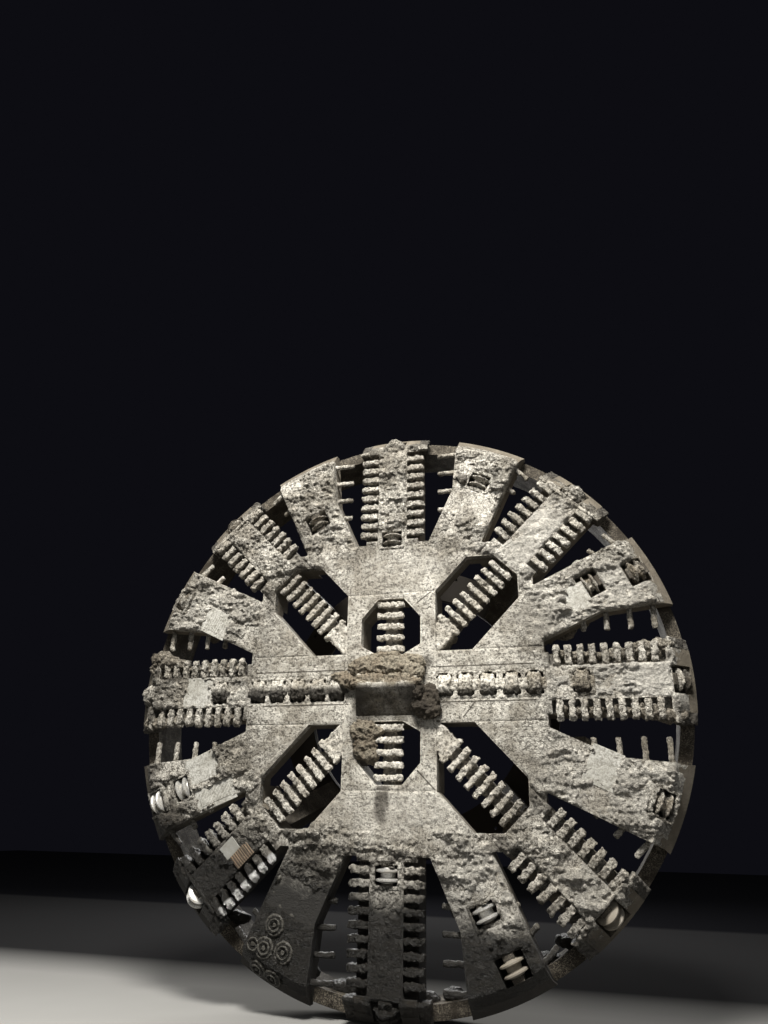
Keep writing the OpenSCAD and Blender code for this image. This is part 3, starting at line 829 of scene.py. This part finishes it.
TIP_STEEL = mud_material("tooth_tips", 0.8, PALE_MUD, 0.015, depth=(0.0, 0.12), tips=True)
RUNG_MUD = mud_material("rung_mud", 0.8, PALE_MUD, 0.02, depth=(0.02, 0.14))
PORT_MUD = mud_material("port_mud", 0.5, BROWN_MUD, 0.008, {"Damp_and_shade": (0.062, 0.057, 0.047)})
BAR_MUD = mud_material("bar_mud", 0.6, BROWN_MUD, 0.015)
PLATE_TONES = {"Pale": (0.60, 0.58, 0.525), "Shade": (0.25, 0.235, 0.198)}
PLATE_MUD = mud_material("plate_mud", 0.15, (0.45, 0.43, 0.375), 0.006, PLATE_TONES)
FACE_MUD = face_material("face_mud")

DULL = 0.12
RIM_STEEL = steel_material("rim_steel", (0.020, 0.017, 0.014), (0.034, 0.028, 0.021), 0.5, 0.1, 0.75,
                           relief=0.010, gloss=DULL)
DARK_STEEL = steel_material("dark_steel", (0.032, 0.030, 0.028), (0.050, 0.042, 0.033), 0.5, 0.1, 0.75,
                            relief=0.008, gloss=DULL)
FLANGE_STEEL = steel_material("flange_steel", (0.15, 0.145, 0.135), (0.10, 0.068, 0.045), 0.5, 0.1, 0.80,
                              relief=0.002, gloss=DULL)
WHITE_STEEL = steel_material("white_plate", (0.33, 0.335, 0.315), (0.20, 0.188, 0.155), 0.55, 0.0, 0.6)
RUST_STEEL = steel_material("rusty_rib", (0.30, 0.18, 0.10), (0.15, 0.115, 0.078), 0.55, 0.0, 0.7)
PORT_STEEL = steel_material("port_cap", (0.055, 0.050, 0.042), (0.030, 0.026, 0.021), 0.5, 0.2, 0.5,
                            relief=0.012)
CUTTER_STEEL = steel_material("cutter_steel", (0.27, 0.245, 0.205), (0.20, 0.172, 0.13), 0.55, 0.3, 0.55,
                              relief=0.012)
BRIGHT_STEEL = steel_material("bright_cutter_steel", (0.62, 0.61, 0.58), (0.30, 0.27, 0.21), 0.36, 0.6, 0.40)
stripe_ribs(RUST_STEEL, 0.045, 0.85)
# The front of the flange, which shows through the openings, gets painted shade.
paint_front_shade(FLANGE_STEEL, -0.03)

# How the CAD nodes' own meshes look, by how their names start. The first match holds.
CAD_LOOKS = [
    (("spoke", "panel", "centre_block", "nose"), FACE_MUD),
    (("scrapers", "corner_ladders", "centre_ladders", "muck_bars", "wear_strips"), TOOTH_MUD),
    (BRIGHT_DISCS, BRIGHT_STEEL),
    (("disc_0", "disc_1", "disc_2", "disc_3", "disc_top", "gauge"), CUTTER_STEEL),
    (("drive_flange",), FLANGE_STEEL),
    (("rim_ring",), RIM_STEEL),
    (("port_caps",), PORT_STEEL),
]


def dress_cad_nodes():
    """Gives each CAD node's own mesh its material."""
    for name, obj in frame["nodes"].items():
        material = next((look for starts, look in CAD_LOOKS if name.startswith(starts)), DARK_STEEL)
        if not obj.material_slots:
            obj.data.materials.append(material)
        for held in obj.material_slots:
            held.material = material


# Mud on the face


def copy_of(name, node):
    """A free copy of a CAD node's mesh, merged into closed shells."""
    obj = bpy.data.objects.new(name, frame["nodes"][node].data.copy())
    bpy.context.scene.collection.objects.link(obj)
    edit_whole(obj, bpy.ops.mesh.remove_doubles, threshold=0.0004)
    return obj


def plate_share(x, z, plate, soft=0.05):
    """1 inside a plate, 0 outside, soft and ragged at its edge."""
    angle, radius, across, half_r, half_t, turn = plate
    centre = on_face(angle, radius, across)
    a = math.radians(angle + turn)
    dx, dz = x - centre.x, z - centre.z
    ragged = 0.030 * np.sin(13 * x + 5 * z) + 0.025 * np.sin(29 * z - 11 * x)
    ragged = ragged + 0.02 * np.sin(47 * x + 31 * z)
    u = np.abs(dx * math.cos(a) + dz * math.sin(a)) - half_r + ragged
    v = np.abs(-dx * math.sin(a) + dz * math.cos(a)) - half_t + ragged
    return 1 - step_up(np.maximum(u, v), -soft, soft)


# Stretches of the face where the mud lies thinner: X, Z, reach and how much of the roughness goes
THIN_MUD = [
    (2.9, 2.8, 0.9, 0.5),
    (4.7, 0.0, 0.45, 0.7),
    (4.35, 1.7, 0.5, 0.45),
]


def mud_weights(obj):
    """How rough and how thick the mud lies at each point of a face piece."""
    co = coords(obj)
    x, z = co[:, 0], co[:, 2]
    front = step_up(-co[:, 1], -FACE_Y - 0.19, -FACE_Y - 0.10)
    facing = spread(obj, step_up(-per_vertex(obj, "normal")[:, 1], 0.45, 0.92), 9)
    front *= 0.12 + 0.88 * step_up(facing, 0.55, 0.98)
    below = step_up(-z, 1.9, 2.6)
    rough = step_up(np.hypot(x, z), 2.7 - 0.5 * below, 3.4 - 0.7 * below)
    rough *= 0.35 + 0.65 * step_up(z + 0.2 * x, -4.2, -3.2)
    for middle_x, middle_z, reach, share in THIN_MUD:
        away = np.hypot(x - middle_x, z - middle_z)
        rough *= 1 - share * step_up(-away, -reach, -0.5 * reach)
    clean = np.zeros(len(co))
    for plate in CLEAN_PLATES:
        clean = np.maximum(clean, plate_share(x, z, plate))
    weigh(obj, "front", front)
    weigh(obj, "rough", front * rough * (1 - clean))
    weigh(obj, "smooth", front * (1 - rough) * (1 - clean))
    weigh(obj, "clean", front * clean)


# Layers of mud on the face: texture, strength, level that stays in place, where, and drawn out sideways
SKIN_DEPTH = 0.2
SKIN_LAYERS = [
    (None, 0.010, 0.0, "front", False),
    (None, 0.012, 0.0, "rough", False),
    (CRUST, 0.045, 0.3, "rough", False),
    (FLAKES, 0.045, 0.4, "rough", True),
    (LUMPS, 0.040, 0.48, "rough", True),
    (COBBLES, -0.025, 0.3, "rough", False),
    (CLODS, 0.045, 0.5, "rough", False),
    (LUMPS, 0.014, 0.5, "smooth", False),
    (CLODS, 0.014, 0.5, "smooth", False),
    (None, -0.03, 0.0, "clean", False),
]


def mud_skin(node, voxel=0.019):
    """The mud on the front of one face piece: a lumpy skin with crusts and ledges that wraps its edges."""
    obj = copy_of(f"mud_{node}", node)
    edit_whole(obj, bpy.ops.mesh.bisect, plane_co=(0, FACE_Y + SKIN_DEPTH, 0), plane_no=(0, 1, 0),
               use_fill=True, clear_outer=True)
    remesh(obj, voxel)
    mud_weights(obj)
    for layer in SKIN_LAYERS:
        displace(obj, *layer)
    apply_all(obj)
    keep_in_head(obj)
    flatten_rest(obj, 1.5, 0.55)
    finish_piece(obj, SKIN_MUD)


def make_face_mud():
    for angle in SPOKE_ANGLES:
        mud_skin(f"spoke_{angle:03d}")
    for angle in PANEL_ANGLES:
        mud_skin(f"panel_{angle:03d}")
    mud_skin("centre_block", 0.022)


# Mud on the scrapers, rungs, bars and cutters


def heap_parts(rows):
    """Rounded lumps, one for each row of a middle's X, Y, Z and half sizes."""
    parts = []
    for x, y, z, half_x, half_y, half_z in rows:
        lump = add(bpy.ops.mesh.primitive_ico_sphere_add, subdivisions=3, radius=1, location=(x, y, z))
        lump.scale = (half_x, half_y, half_z)
        settle(lump)
        parts.append(lump)
    return parts


def lumpy_copy(node, voxel, material, lumps, clods, swell, fill=()):
    """A whole node under a coat of mud, which stands for the plain node. Each place in fill gets a lump
    that closes the groove between a cutter's two rings."""
    parts = [copy_of(f"mud_{node}", node)]
    for place in fill:
        lump = heap_parts([(0, 0, -DISC_SINK, 0.142, 0.205, 0.200)])[0]
        parts.append(put(lump, place))
    obj = join(f"mud_{node}", parts)
    remesh(obj, voxel)
    displace(obj, None, swell, 0.0)
    displace(obj, LUMPS, lumps, 0.45)
    displace(obj, CLODS, clods, 0.45)
    apply_all(obj)
    keep_in_head(obj)
    flatten_rest(obj)
    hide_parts(node)
    finish_piece(obj, material)


def caked_roller(node):
    """A turning cutter with mud in its grooves, which never grows outwards."""
    obj = copy_of(f"mud_{node}", node)
    remesh(obj, 0.009)
    displace(obj, CLODS, -0.022, 0.15)
    apply_all(obj)
    flatten_rest(obj)
    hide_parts(node)
    finish_piece(obj, CAKE_MUD, BODY_OF[node])


def make_teeth():
    for angle in SPOKE_ANGLES:
        material = TIP_STEEL if angle == 225 else TOOTH_MUD
        lumpy_copy(f"scrapers_{angle:03d}", 0.017, material, 0.045, 0.036, -0.003)
    lumpy_copy("corner_ladders", 0.018, RUNG_MUD, 0.032, 0.036, -0.006)
    lumpy_copy("centre_ladders", 0.018, RUNG_MUD, 0.032, 0.036, -0.004)
    lumpy_copy("muck_bars", 0.014, BAR_MUD, 0.020, 0.020, 0.014)
    lumpy_copy("port_caps", 0.010, ROUGH_MUD, 0.010, 0.014, 0.001)
    for side, angle, material in (("right", 0, ROW_MUD), ("left", 180, HOLLOW_MUD)):
        places = [cutter_place(angle, radius) for radius in ROW_RADII]
        lumpy_copy(f"caked_discs_{side}", 0.014, material, 0.045, 0.035, 0.014, places)
    for node in CAKED_ROLLERS:
        caked_roller(node)
    lumpy_copy("caked_gauge_discs", 0.018, ROUGH_MUD, 0.06, 0.03, 0.02)
    lumpy_copy("wear_strips", 0.016, TOOTH_MUD, 0.03, 0.02, 0.002)


# Heaps of mud on and beside the nose, on the spokes and in the lower centre opening: X, Y, Z of each lump's
# middle, and its half sizes
NOSE_HEAPS = [
    (-0.42, -2.42, 0.36, 0.36, 0.15, 0.20),
    (0.05, -2.46, 0.34, 0.42, 0.15, 0.20),
    (0.46, -2.44, 0.24, 0.24, 0.15, 0.20),
    (-0.74, -2.36, 0.12, 0.26, 0.12, 0.13),
    (-0.30, -2.55, 0.12, 0.32, 0.09, 0.10),
    (0.24, -2.56, 0.12, 0.30, 0.08, 0.09),
    (-0.34, -2.60, 0.03, 0.34, 0.06, 0.055),
    (0.14, -2.60, 0.04, 0.30, 0.06, 0.06),
    (0.52, -2.58, 0.04, 0.16, 0.07, 0.07),
    (-0.95, -2.33, 0.22, 0.20, 0.07, 0.08),
    (-0.08, -2.36, 0.58, 0.34, 0.08, 0.08),
    (0.52, -2.40, 0.42, 0.18, 0.10, 0.15),
    (0.40, -2.36, 0.52, 0.22, 0.08, 0.09),
]
DARK_HEAPS = [
    (0.80, -2.36, -0.20, 0.17, 0.13, 0.24),
    (0.76, -2.38, -0.45, 0.22, 0.13, 0.16),
    (0.60, -2.46, -0.10, 0.12, 0.14, 0.16),
    (0.66, -2.38, -0.36, 0.20, 0.15, 0.20),
]
CLOG_HEAPS = [
    (-0.46, -2.30, -0.74, 0.20, 0.12, 0.14),
    (-0.40, -2.27, -0.98, 0.16, 0.12, 0.20),
    (-0.34, -2.27, -1.22, 0.14, 0.12, 0.16),
    (-0.54, -2.30, -1.10, 0.13, 0.10, 0.20),
    (-0.56, -2.32, -0.78, 0.17, 0.09, 0.18),
    (-0.22, -2.28, -0.80, 0.12, 0.10, 0.09),
]
SPOKE_HEAPS = [
    (-5.02, -2.20, 0.74, 0.24, 0.14, 0.17),
    (-4.78, -2.24, 0.64, 0.24, 0.13, 0.14),
    (-4.52, -2.24, 0.58, 0.20, 0.10, 0.11),
    (-5.16, -2.12, 0.60, 0.14, 0.12, 0.18),
    (4.94, -2.22, 0.62, 0.20, 0.10, 0.10),
    (4.60, -2.22, 0.60, 0.18, 0.09, 0.08),
    (4.95, -2.20, -0.60, 0.26, 0.10, 0.12),
    (4.60, -2.20, -0.56, 0.22, 0.09, 0.10),
    (-4.95, -2.20, -0.56, 0.26, 0.10, 0.12),
    (-4.50, -2.20, -0.52, 0.20, 0.08, 0.09),
]

# Clumps between the scrapers' roots on the level spokes: side of the head, edge of the spoke, how many
ROOT_CLUMPS = [(1, 1, 13), (-1, 1, 13), (1, -1, 7), (-1, -1, 8)]


def root_rows():
    """Clumps between the roots of the scrapers on both edges of the two level spokes."""
    draw = np.random.default_rng(5)
    rows = []
    for side, edge, count in ROOT_CLUMPS:
        for step in range(count):
            x = 3.1 + 1.75 * (step + draw.uniform(0.2, 0.8)) / count
            z = edge * draw.uniform(0.44, 0.52)
            half_sizes = draw.uniform(0.08, 0.15), draw.uniform(0.07, 0.10), draw.uniform(0.06, 0.11)
            rows.append((side * x, -2.17, z, *half_sizes))
    return rows


def make_heap(name, rows, material):
    """One heap of rough mud from a few lumps, never ahead of the nose."""
    heap = join(name, heap_parts(rows))
    remesh(heap, 0.016)
    displace(heap, LUMPS, 0.09, 0.45, "", True)
    displace(heap, CLODS, 0.05, 0.45)
    apply_all(heap)
    co = coords(heap)
    co[:, 1] = np.maximum(co[:, 1], NOSE_Y + 3 * MUD_GAP)
    set_coords(heap, co)
    keep_in_head(heap)
    flatten_rest(heap)
    finish_piece(heap, material)


def make_nose():
    """The nose, smooth under its lower slope and heaped with mud on its upper one."""
    obj = copy_of("mud_nose", "nose")
    remesh(obj, 0.02)
    displace(obj, LUMPS, 0.012, 0.5)
    apply_all(obj)
    flatten_rest(obj, 1.5)
    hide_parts("nose")
    finish_piece(obj, UNDER_MUD)
    make_heap("nose_heap", NOSE_HEAPS, HEAP_MUD)
    make_heap("nose_side_heap", DARK_HEAPS, DARK_MUD)
    make_heap("octagon_clog", CLOG_HEAPS, CLOG_MUD)
    make_heap("spoke_heaps", SPOKE_HEAPS + root_rows(), CAKE_HEAP)


# Mud in the cutters' pockets


def clear_cutter(co, room):
    """Pushes points in a cutter's frame out of the room that it turns in."""
    y, z = co[:, 1], co[:, 2] + DISC_SINK
    reach = np.hypot(y, z)
    need = np.where(np.abs(co[:, 0]) < DISC_HALF + room, DISC_R + room, 0.0)
    grow = np.where(reach < need, need / np.maximum(reach, 1e-4), 1.0)
    co[:, 1] = y * grow
    co[:, 2] = z * grow - DISC_SINK


def packed_mud(name, open_y, shift=0.0, top=0.02, hole=0.0):
    """A slab of mud in a pocket with an opening, in the cutter's frame at the origin. A hole of some half
    width can lie beside the opening."""
    obj = add(bpy.ops.mesh.primitive_grid_add, x_subdivisions=28, y_subdivisions=32, size=1)
    obj.name = name
    obj.scale = (2 * POCKET_X + 0.03, 2 * POCKET_Y + 0.03, 1)
    obj.location = (0, 0, top)
    settle(obj)
    bpy.ops.object.mode_set(mode="EDIT")
    bpy.ops.mesh.select_mode(type="FACE")
    bpy.ops.mesh.select_all(action="DESELECT")
    bpy.ops.object.mode_set(mode="OBJECT")
    for face in obj.data.polygons:
        opened = abs(face.center.x) < 0.150 and abs(face.center.y - shift) < open_y
        face.select = opened or (abs(face.center.x) < hole and 0 < face.center.y < 0.235)
    bpy.ops.object.mode_set(mode="EDIT")
    bpy.ops.mesh.delete(type="FACE")
    bpy.ops.object.mode_set(mode="OBJECT")
    wall = obj.modifiers.new("wall", "SOLIDIFY")
    wall.thickness = 0.10
    wall.offset = -1
    apply_all(obj)
    remesh(obj, 0.015)
    return obj


def settle_mud(obj, place, room=None):
    """Roughens mud in its place, keeps it clear of the cutter, and leaves it in the head's frame."""
    put(obj, place)
    displace(obj, LUMPS, 0.05, 0.5)
    displace(obj, CLODS, 0.03, 0.5)
    apply_all(obj)
    if room is not None:
        obj.data.transform(place.inverted())
        co = coords(obj)
        clear_cutter(co, room)
        set_coords(obj, co)
        obj.data.transform(place)
    keep_in_head(obj)
    finish_piece(obj, ROUGH_MUD)


# Mud round the caked row: side, angle, half height of the openings, their shift, half width of the holes
ROW_SLABS = [
    ("right", 0, 0.185, 0.0, 0.075),
    ("left", 180, 0.215, 0.03, 0.0),
]


def make_pocket_mud():
    for name, angle, radius, tilt in TURNING_DISCS:
        if name not in OPEN_POCKETS:
            obj = packed_mud(f"packed_mud_{name}", 0.214)
            settle_mud(obj, cutter_place(angle, radius, tilt), 0.012)
    for side, angle, open_y, shift, hole in ROW_SLABS:
        slabs = []
        for index, radius in enumerate(ROW_RADII):
            slab = packed_mud(f"row_{side}_{index}", open_y, shift, 0.01, hole)
            slab.matrix_world = cutter_place(angle, radius)
            slabs.append(slab)
        settle_mud(join(f"packed_mud_row_{side}", slabs), Matrix.Identity(4))


# Bare wear plates, ribs and agent ports

PLATE_T = 0.03
RIB_R = 0.013
RIB_MARGIN = 0.04


def plate_piece(name, plate, material, lift=0.010, grow=0.05, ribs=0, slotted=False):
    """A thin wear plate with eased corners, worn flat, with raised ribs or a raised bar across it."""
    angle, radius, across, half_r, half_t, turn = plate
    base = add(bpy.ops.mesh.primitive_cube_add, size=1)
    base.scale = (2 * (half_r + grow), 2 * (half_t + grow), PLATE_T)
    settle(base)
    edit_whole(base, bpy.ops.mesh.bevel, offset=0.006, segments=2, affect="EDGES")
    parts = [base]
    for index in range(ribs):
        along = (index + 0.5) / ribs * 2 * (half_r - RIB_MARGIN) - half_r + RIB_MARGIN
        rib = add(bpy.ops.mesh.primitive_cylinder_add, vertices=8, radius=RIB_R,
                  depth=2 * (half_t - RIB_MARGIN), rotation=(math.pi / 2, 0, 0), location=(along, 0, RIB_R))
        settle(rib)
        parts.append(rib)
    if slotted:
        bar = add(bpy.ops.mesh.primitive_cube_add, size=1, location=(0, 0, 0.009))
        bar.scale = (0.03, 0.22, 0.02)
        settle(bar)
        edit_whole(bar, bpy.ops.mesh.bevel, offset=0.004, segments=1, affect="EDGES")
        parts.append(bar)
    place = cutter_place(angle, radius)
    place.translation = on_face(angle, radius, across, lift - PLATE_T / 2)
    whole = put(join(name, parts), place @ Matrix.Rotation(math.radians(turn), 4, "Z"))
    finish_piece(whole, material, smooth=False)


def make_plates():
    for index, plate in enumerate(WEAR_PLATES):
        ribs = PLATE_RIBS.get(index, 0)
        plate_piece(f"wear_plate_{index}", plate, PLATE_MUD, ribs=ribs, slotted=index == SLOTTED_PLATE)
    plate_piece("root_plate_225", ROOT_PLATE, WHITE_STEEL, lift=0.05, grow=0.0)
    plate_piece("rusty_ribs_225", RUSTY_PLATE, RUST_STEEL, lift=0.06, grow=0.0, ribs=10)


def rod_between(start, end, radius, sides=14):
    """A round rod from one point to another."""
    way = Vector(end) - Vector(start)
    rod = add(bpy.ops.mesh.primitive_cylinder_add, vertices=sides, radius=radius, depth=way.length)
    turned = way.to_track_quat("Z", "Y").to_matrix().to_4x4()
    return put(rod, Matrix.Translation((Vector(start) + Vector(end)) / 2) @ turned)


# Agent ports: angle, radius, tilt, and whether a wide collar fits round the cap
BEVEL_TILT = 43.2
PORTS = [
    (243.6, 4.492, 0, True),
    (243.7, 4.88, 0, True),
    (247.8, 4.783, 0, True),
    (241.3, 4.93, 0, False),
    (243.7, 5.235, BEVEL_TILT, True),
    (247.2, 5.23, BEVEL_TILT, True),
]
PORT_COLLAR = (0.150, 0.026, 0.012)
PORT_LIP = (0.095, 0.016, 0.048)


def make_port_plugs():
    """A collar round each agent port's cap, a lip on it and a plug in its bore, under a coat of mud."""
    parts = []
    for angle, radius, tilt, collared in PORTS:
        place = cutter_place(angle, radius, tilt)
        drop = max(0, radius - BEVEL_R) * math.tan(math.radians(tilt))
        place.translation = on_face(angle, radius, 0, -drop)
        for major, minor, height in [PORT_COLLAR, PORT_LIP] if collared else [PORT_LIP]:
            ring = add(bpy.ops.mesh.primitive_torus_add, major_segments=40, minor_segments=10,
                       major_radius=major, minor_radius=minor, location=(0, 0, height))
            settle(ring)
            parts.append(put(ring, place))
        plug = rod_between((0, 0, -0.02), (0, 0, 0.050), 0.036, 12)
        parts.append(put(plug, place))
    whole = join("port_plugs", parts)
    remesh(whole, 0.009)
    displace(whole, CLODS, 0.022, 0.45)
    apply_all(whole)
    keep_in_head(whole)
    flatten_rest(whole)
    finish_piece(whole, PORT_MUD)


# Pipes, bolts, welds and mud on the back

PIPE_R = 0.038
PIPE_IN = 0.47
PIPE_OUT = 3.45
PIPE_ACROSS = 0.33
PIPE_LIFT = 0.10
LEG_HEAD_IN = 2.25
LEG_HEAD_DIAG_IN = 3.23
LEG_HEAD_LEN = 0.6
LEG_HEAD_HALF = 0.2
MIXING_BAR_AT = 4.10


def make_pipe(angle, across):
    """One agent pipe on a spoke's back, with its elbow, collars, feet and clamps."""

    def piece(first, last, radius, lift=PIPE_LIFT, last_lift=None, sides=14):
        start = on_face(angle, first, across, -SPOKE_BACK - lift)
        end_lift = lift if last_lift is None else last_lift
        return rod_between(start, on_face(angle, last, across, -SPOKE_BACK - end_lift), radius, sides)

    parts = [piece(PIPE_IN, PIPE_OUT, PIPE_R)]
    parts.append(piece(PIPE_OUT, PIPE_OUT, PIPE_R, last_lift=-0.01))
    for radius in (0.68, 1.75, 1.80, 3.36):
        parts.append(piece(radius - 0.02, radius + 0.02, 0.062))
    parts.append(piece(PIPE_OUT, PIPE_OUT, 0.085, -0.005, 0.03))
    for radius in (1.15, 2.05, 3.05):
        parts.append(piece(radius - 0.03, radius + 0.03, 0.075, 0.035, sides=4))
        parts.append(piece(radius - 0.025, radius + 0.025, 0.050))
    elbow = on_face(angle, PIPE_OUT, across, -SPOKE_BACK - PIPE_LIFT)
    return parts + heap_parts([(*elbow, 0.040, 0.040, 0.040)])


def make_pipes():
    """Agent pipes from the rotary seat along the backs of the two level spokes."""
    parts = []
    for angle in (0, 180):
        for across in (-PIPE_ACROSS, PIPE_ACROSS):
            parts += make_pipe(angle, across)
    finish_piece(join("agent_pipes", parts), DARK_STEEL)


def make_seat_bolts():
    """Two rings of hex bolts with washers round the rotary seat's bore."""
    parts = []
    for count, radius in ((16, 0.50), (8, 0.33)):
        for step in range(count):
            angle = 2 * math.pi * (step + 0.5) / count
            x, z = radius * math.cos(angle), radius * math.sin(angle)
            parts.append(rod_between((x, SEAT_BACK_Y - 0.005, z), (x, SEAT_BACK_Y + 0.008, z), 0.040, 16))
            parts.append(rod_between((x, SEAT_BACK_Y, z), (x, SEAT_BACK_Y + 0.032, z), 0.030, 6))
    finish_piece(join("seat_bolts", parts), FLANGE_STEEL, smooth=False)


def make_welds():
    """Weld beads round the heads of the drive legs on the spokes' backs and round the mixing bars."""
    parts = []
    for angle in SPOKE_ANGLES:
        inner = LEG_HEAD_DIAG_IN if angle % 90 else LEG_HEAD_IN
        outer = inner + LEG_HEAD_LEN
        half = LEG_HEAD_HALF
        corners = [(inner, -half), (outer, -half), (outer, half), (inner, half)]
        for index in range(4):
            start = on_face(angle, *corners[index], -SPOKE_BACK - 0.004)
            end = on_face(angle, *corners[(index + 1) % 4], -SPOKE_BACK - 0.004)
            parts.append(rod_between(start, end, 0.020, 8))
    for angle in (0, 90, 180, 270):
        bead = add(bpy.ops.mesh.primitive_torus_add, major_segments=32, minor_segments=8,
                   major_radius=0.098, minor_radius=0.022)
        middle = Matrix.Translation(on_face(angle, MIXING_BAR_AT, 0, -SPOKE_BACK))
        parts.append(put(bead, middle @ Matrix.Rotation(math.pi / 2, 4, "X")))
    finish_piece(join("weld_beads", parts), DARK_STEEL)


def rear_rows():
    """Crusts on the backs of the spokes and panels, then clumps in the bottom of the rim."""
    draw = np.random.default_rng(11)
    rows = []
    for angle in SPOKE_ANGLES + PANEL_ANGLES:
        back = SPOKE_BACK if angle in SPOKE_ANGLES else PANEL_BACK
        for step in range(9):
            middle = on_face(angle, draw.uniform(3.1, 4.8), draw.uniform(-0.36, 0.36), -back)
            half_x, half_z = draw.uniform(0.08, 0.32), draw.uniform(0.08, 0.30)
            rows.append((*middle, half_x, draw.uniform(0.018, 0.05), half_z))
    for angle in range(228, 313, 6):
        turned = math.radians(angle + draw.uniform(-2, 2))
        x, z = BEVEL_R * math.cos(turned), BEVEL_R * math.sin(turned)
        rows.append((x, -1.55, z, draw.uniform(0.2, 0.35), 0.16, 0.12))
    return rows


def make_rear_mud():
    heap = join("rear_mud", heap_parts(rear_rows()))
    remesh(heap, 0.028)
    displace(heap, LUMPS, 0.05, 0.5)
    displace(heap, CLODS, 0.03, 0.45)
    apply_all(heap)
    keep_in_head(heap)
    flatten_rest(heap, keep=0.35)
    finish_piece(heap, REAR_MUD)


# Stage, lights and camera

FLOOR_Z = -HEAD_R - 0.02
PHOTO_SIZE = (768, 1024)
FOCAL_PX = 734.48
CAMERA_AT = Vector((3.777, -13.497, -2.456))
CAMERA_YAW = math.radians(-16.35)
CAMERA_PITCH = math.radians(23.35)
CAMERA_ROLL = math.radians(1.222)


def make_stage():
    """A floor that is pale near the camera and fades to dark under and far behind the head, a painted
    shadow. To bounced light it is dark grey, which deepens the shade under the head.
    """
    floor = add(bpy.ops.mesh.primitive_plane_add, size=120, location=(0, 0, FLOOR_Z))
    floor.name = "studio_floor"
    material, shade, finish = base_material("pale_floor")
    shade.feed(finish["Roughness"], 0.9)
    shade.feed(finish["Specular IOR Level"], 0.0)
    y = shade.axes()[1]
    tone = shade.mix(shade.noise(0.4, 3.0), (0.40, 0.39, 0.365), (0.45, 0.44, 0.415))
    # The fade to near black under and behind the head is a painted shadow.
    near = shade.times(shade.ramp(y, -2.6, 2.5), 0.975)
    dark = shade.most([near, shade.ramp(y, -14.0, 15.0)])
    seen = shade.mix(dark, tone, (0.006, 0.006, 0.007))
    # To bounced light the floor is dark grey, so less light reaches the head's undersides.
    bounced = shade.node("ShaderNodeLightPath", {}).outputs["Is Diffuse Ray"]
    shade.feed(finish["Base Color"], shade.mix(bounced, seen, (0.08, 0.08, 0.08)))
    floor.data.materials.append(material)
    settle(floor)


def make_world():
    """Soft pale light all round, with a dark backdrop where the camera looks."""
    world = bpy.data.worlds.new("studio")
    bpy.context.scene.world = world
    world.use_nodes = True
    world.node_tree.nodes.clear()
    shade = Shading(world.node_tree)
    soft = shade.node("ShaderNodeBackground", {"Color": (0.93, 0.96, 1.0), "Strength": 0.15})
    seen = shade.node("ShaderNodeBackground", {"Color": (0.004, 0.004, 0.006), "Strength": 1.0})
    path = shade.node("ShaderNodeLightPath", {})
    rays = {0: path.outputs["Is Camera Ray"], 1: soft.outputs[0], 2: seen.outputs[0]}
    mixed = shade.node("ShaderNodeMixShader", rays)
    shade.node("ShaderNodeOutputWorld", {"Surface": mixed.outputs[0]})


def area_light(name, at, towards, size, power, colour):
    light = bpy.data.lights.new(name, "AREA")
    light.shape = "RECTANGLE"
    light.size, light.size_y = size
    light.energy = power
    light.color = colour
    obj = bpy.data.objects.new(name, light)
    obj.location = at
    obj.rotation_euler = (Vector(towards) - Vector(at)).to_track_quat("-Z", "Y").to_euler()
    bpy.context.scene.collection.objects.link(obj)


def make_lights():
    area_light("sky_key", (1.2, -15.0, 18.5), (0, FACE_Y, 0), (7, 5), 12800, (1.0, 0.985, 0.95))
    area_light("front_fill", (8.0, -18.0, 3.0), (0, FACE_Y, -1), (10, 10), 240, (1.0, 1.0, 1.0))
    area_light("rear_fill", (-6.0, 17.0, 9.0), (0, 0, 0), (10, 10), 4800, (1.0, 0.99, 0.97))


def make_camera():
    data = bpy.data.cameras.new("photo_camera")
    data.sensor_width = 36.0
    data.lens = data.sensor_width * FOCAL_PX / max(PHOTO_SIZE)
    data.clip_end = 500
    camera = bpy.data.objects.new("photo_camera", data)
    yaw, pitch, roll = CAMERA_YAW, CAMERA_PITCH, CAMERA_ROLL
    ahead = Vector((math.sin(yaw) * math.cos(pitch), math.cos(yaw) * math.cos(pitch), math.sin(pitch)))
    right = Vector((math.cos(yaw), -math.sin(yaw), 0))
    up = right.cross(ahead)
    turned_right = right * math.cos(roll) + up * math.sin(roll)
    turned_up = up * math.cos(roll) - right * math.sin(roll)
    axes = Matrix((turned_right, turned_up, -ahead)).transposed()
    camera.matrix_world = Matrix.Translation(CAMERA_AT + Vector((0, FACE_Y, 0))) @ axes.to_4x4()
    bpy.context.scene.collection.objects.link(camera)
    bpy.context.scene.camera = camera


dress_cad_nodes()
make_stage()
make_world()
make_lights()
make_camera()
make_face_mud()
make_teeth()
make_nose()
make_pocket_mud()
make_plates()
make_port_plugs()
make_pipes()
make_seat_bolts()
make_welds()
make_rear_mud()
bpy.data.objects.remove(LEDGE_AXES)

bpy.context.scene.view_settings.view_transform = "Standard"
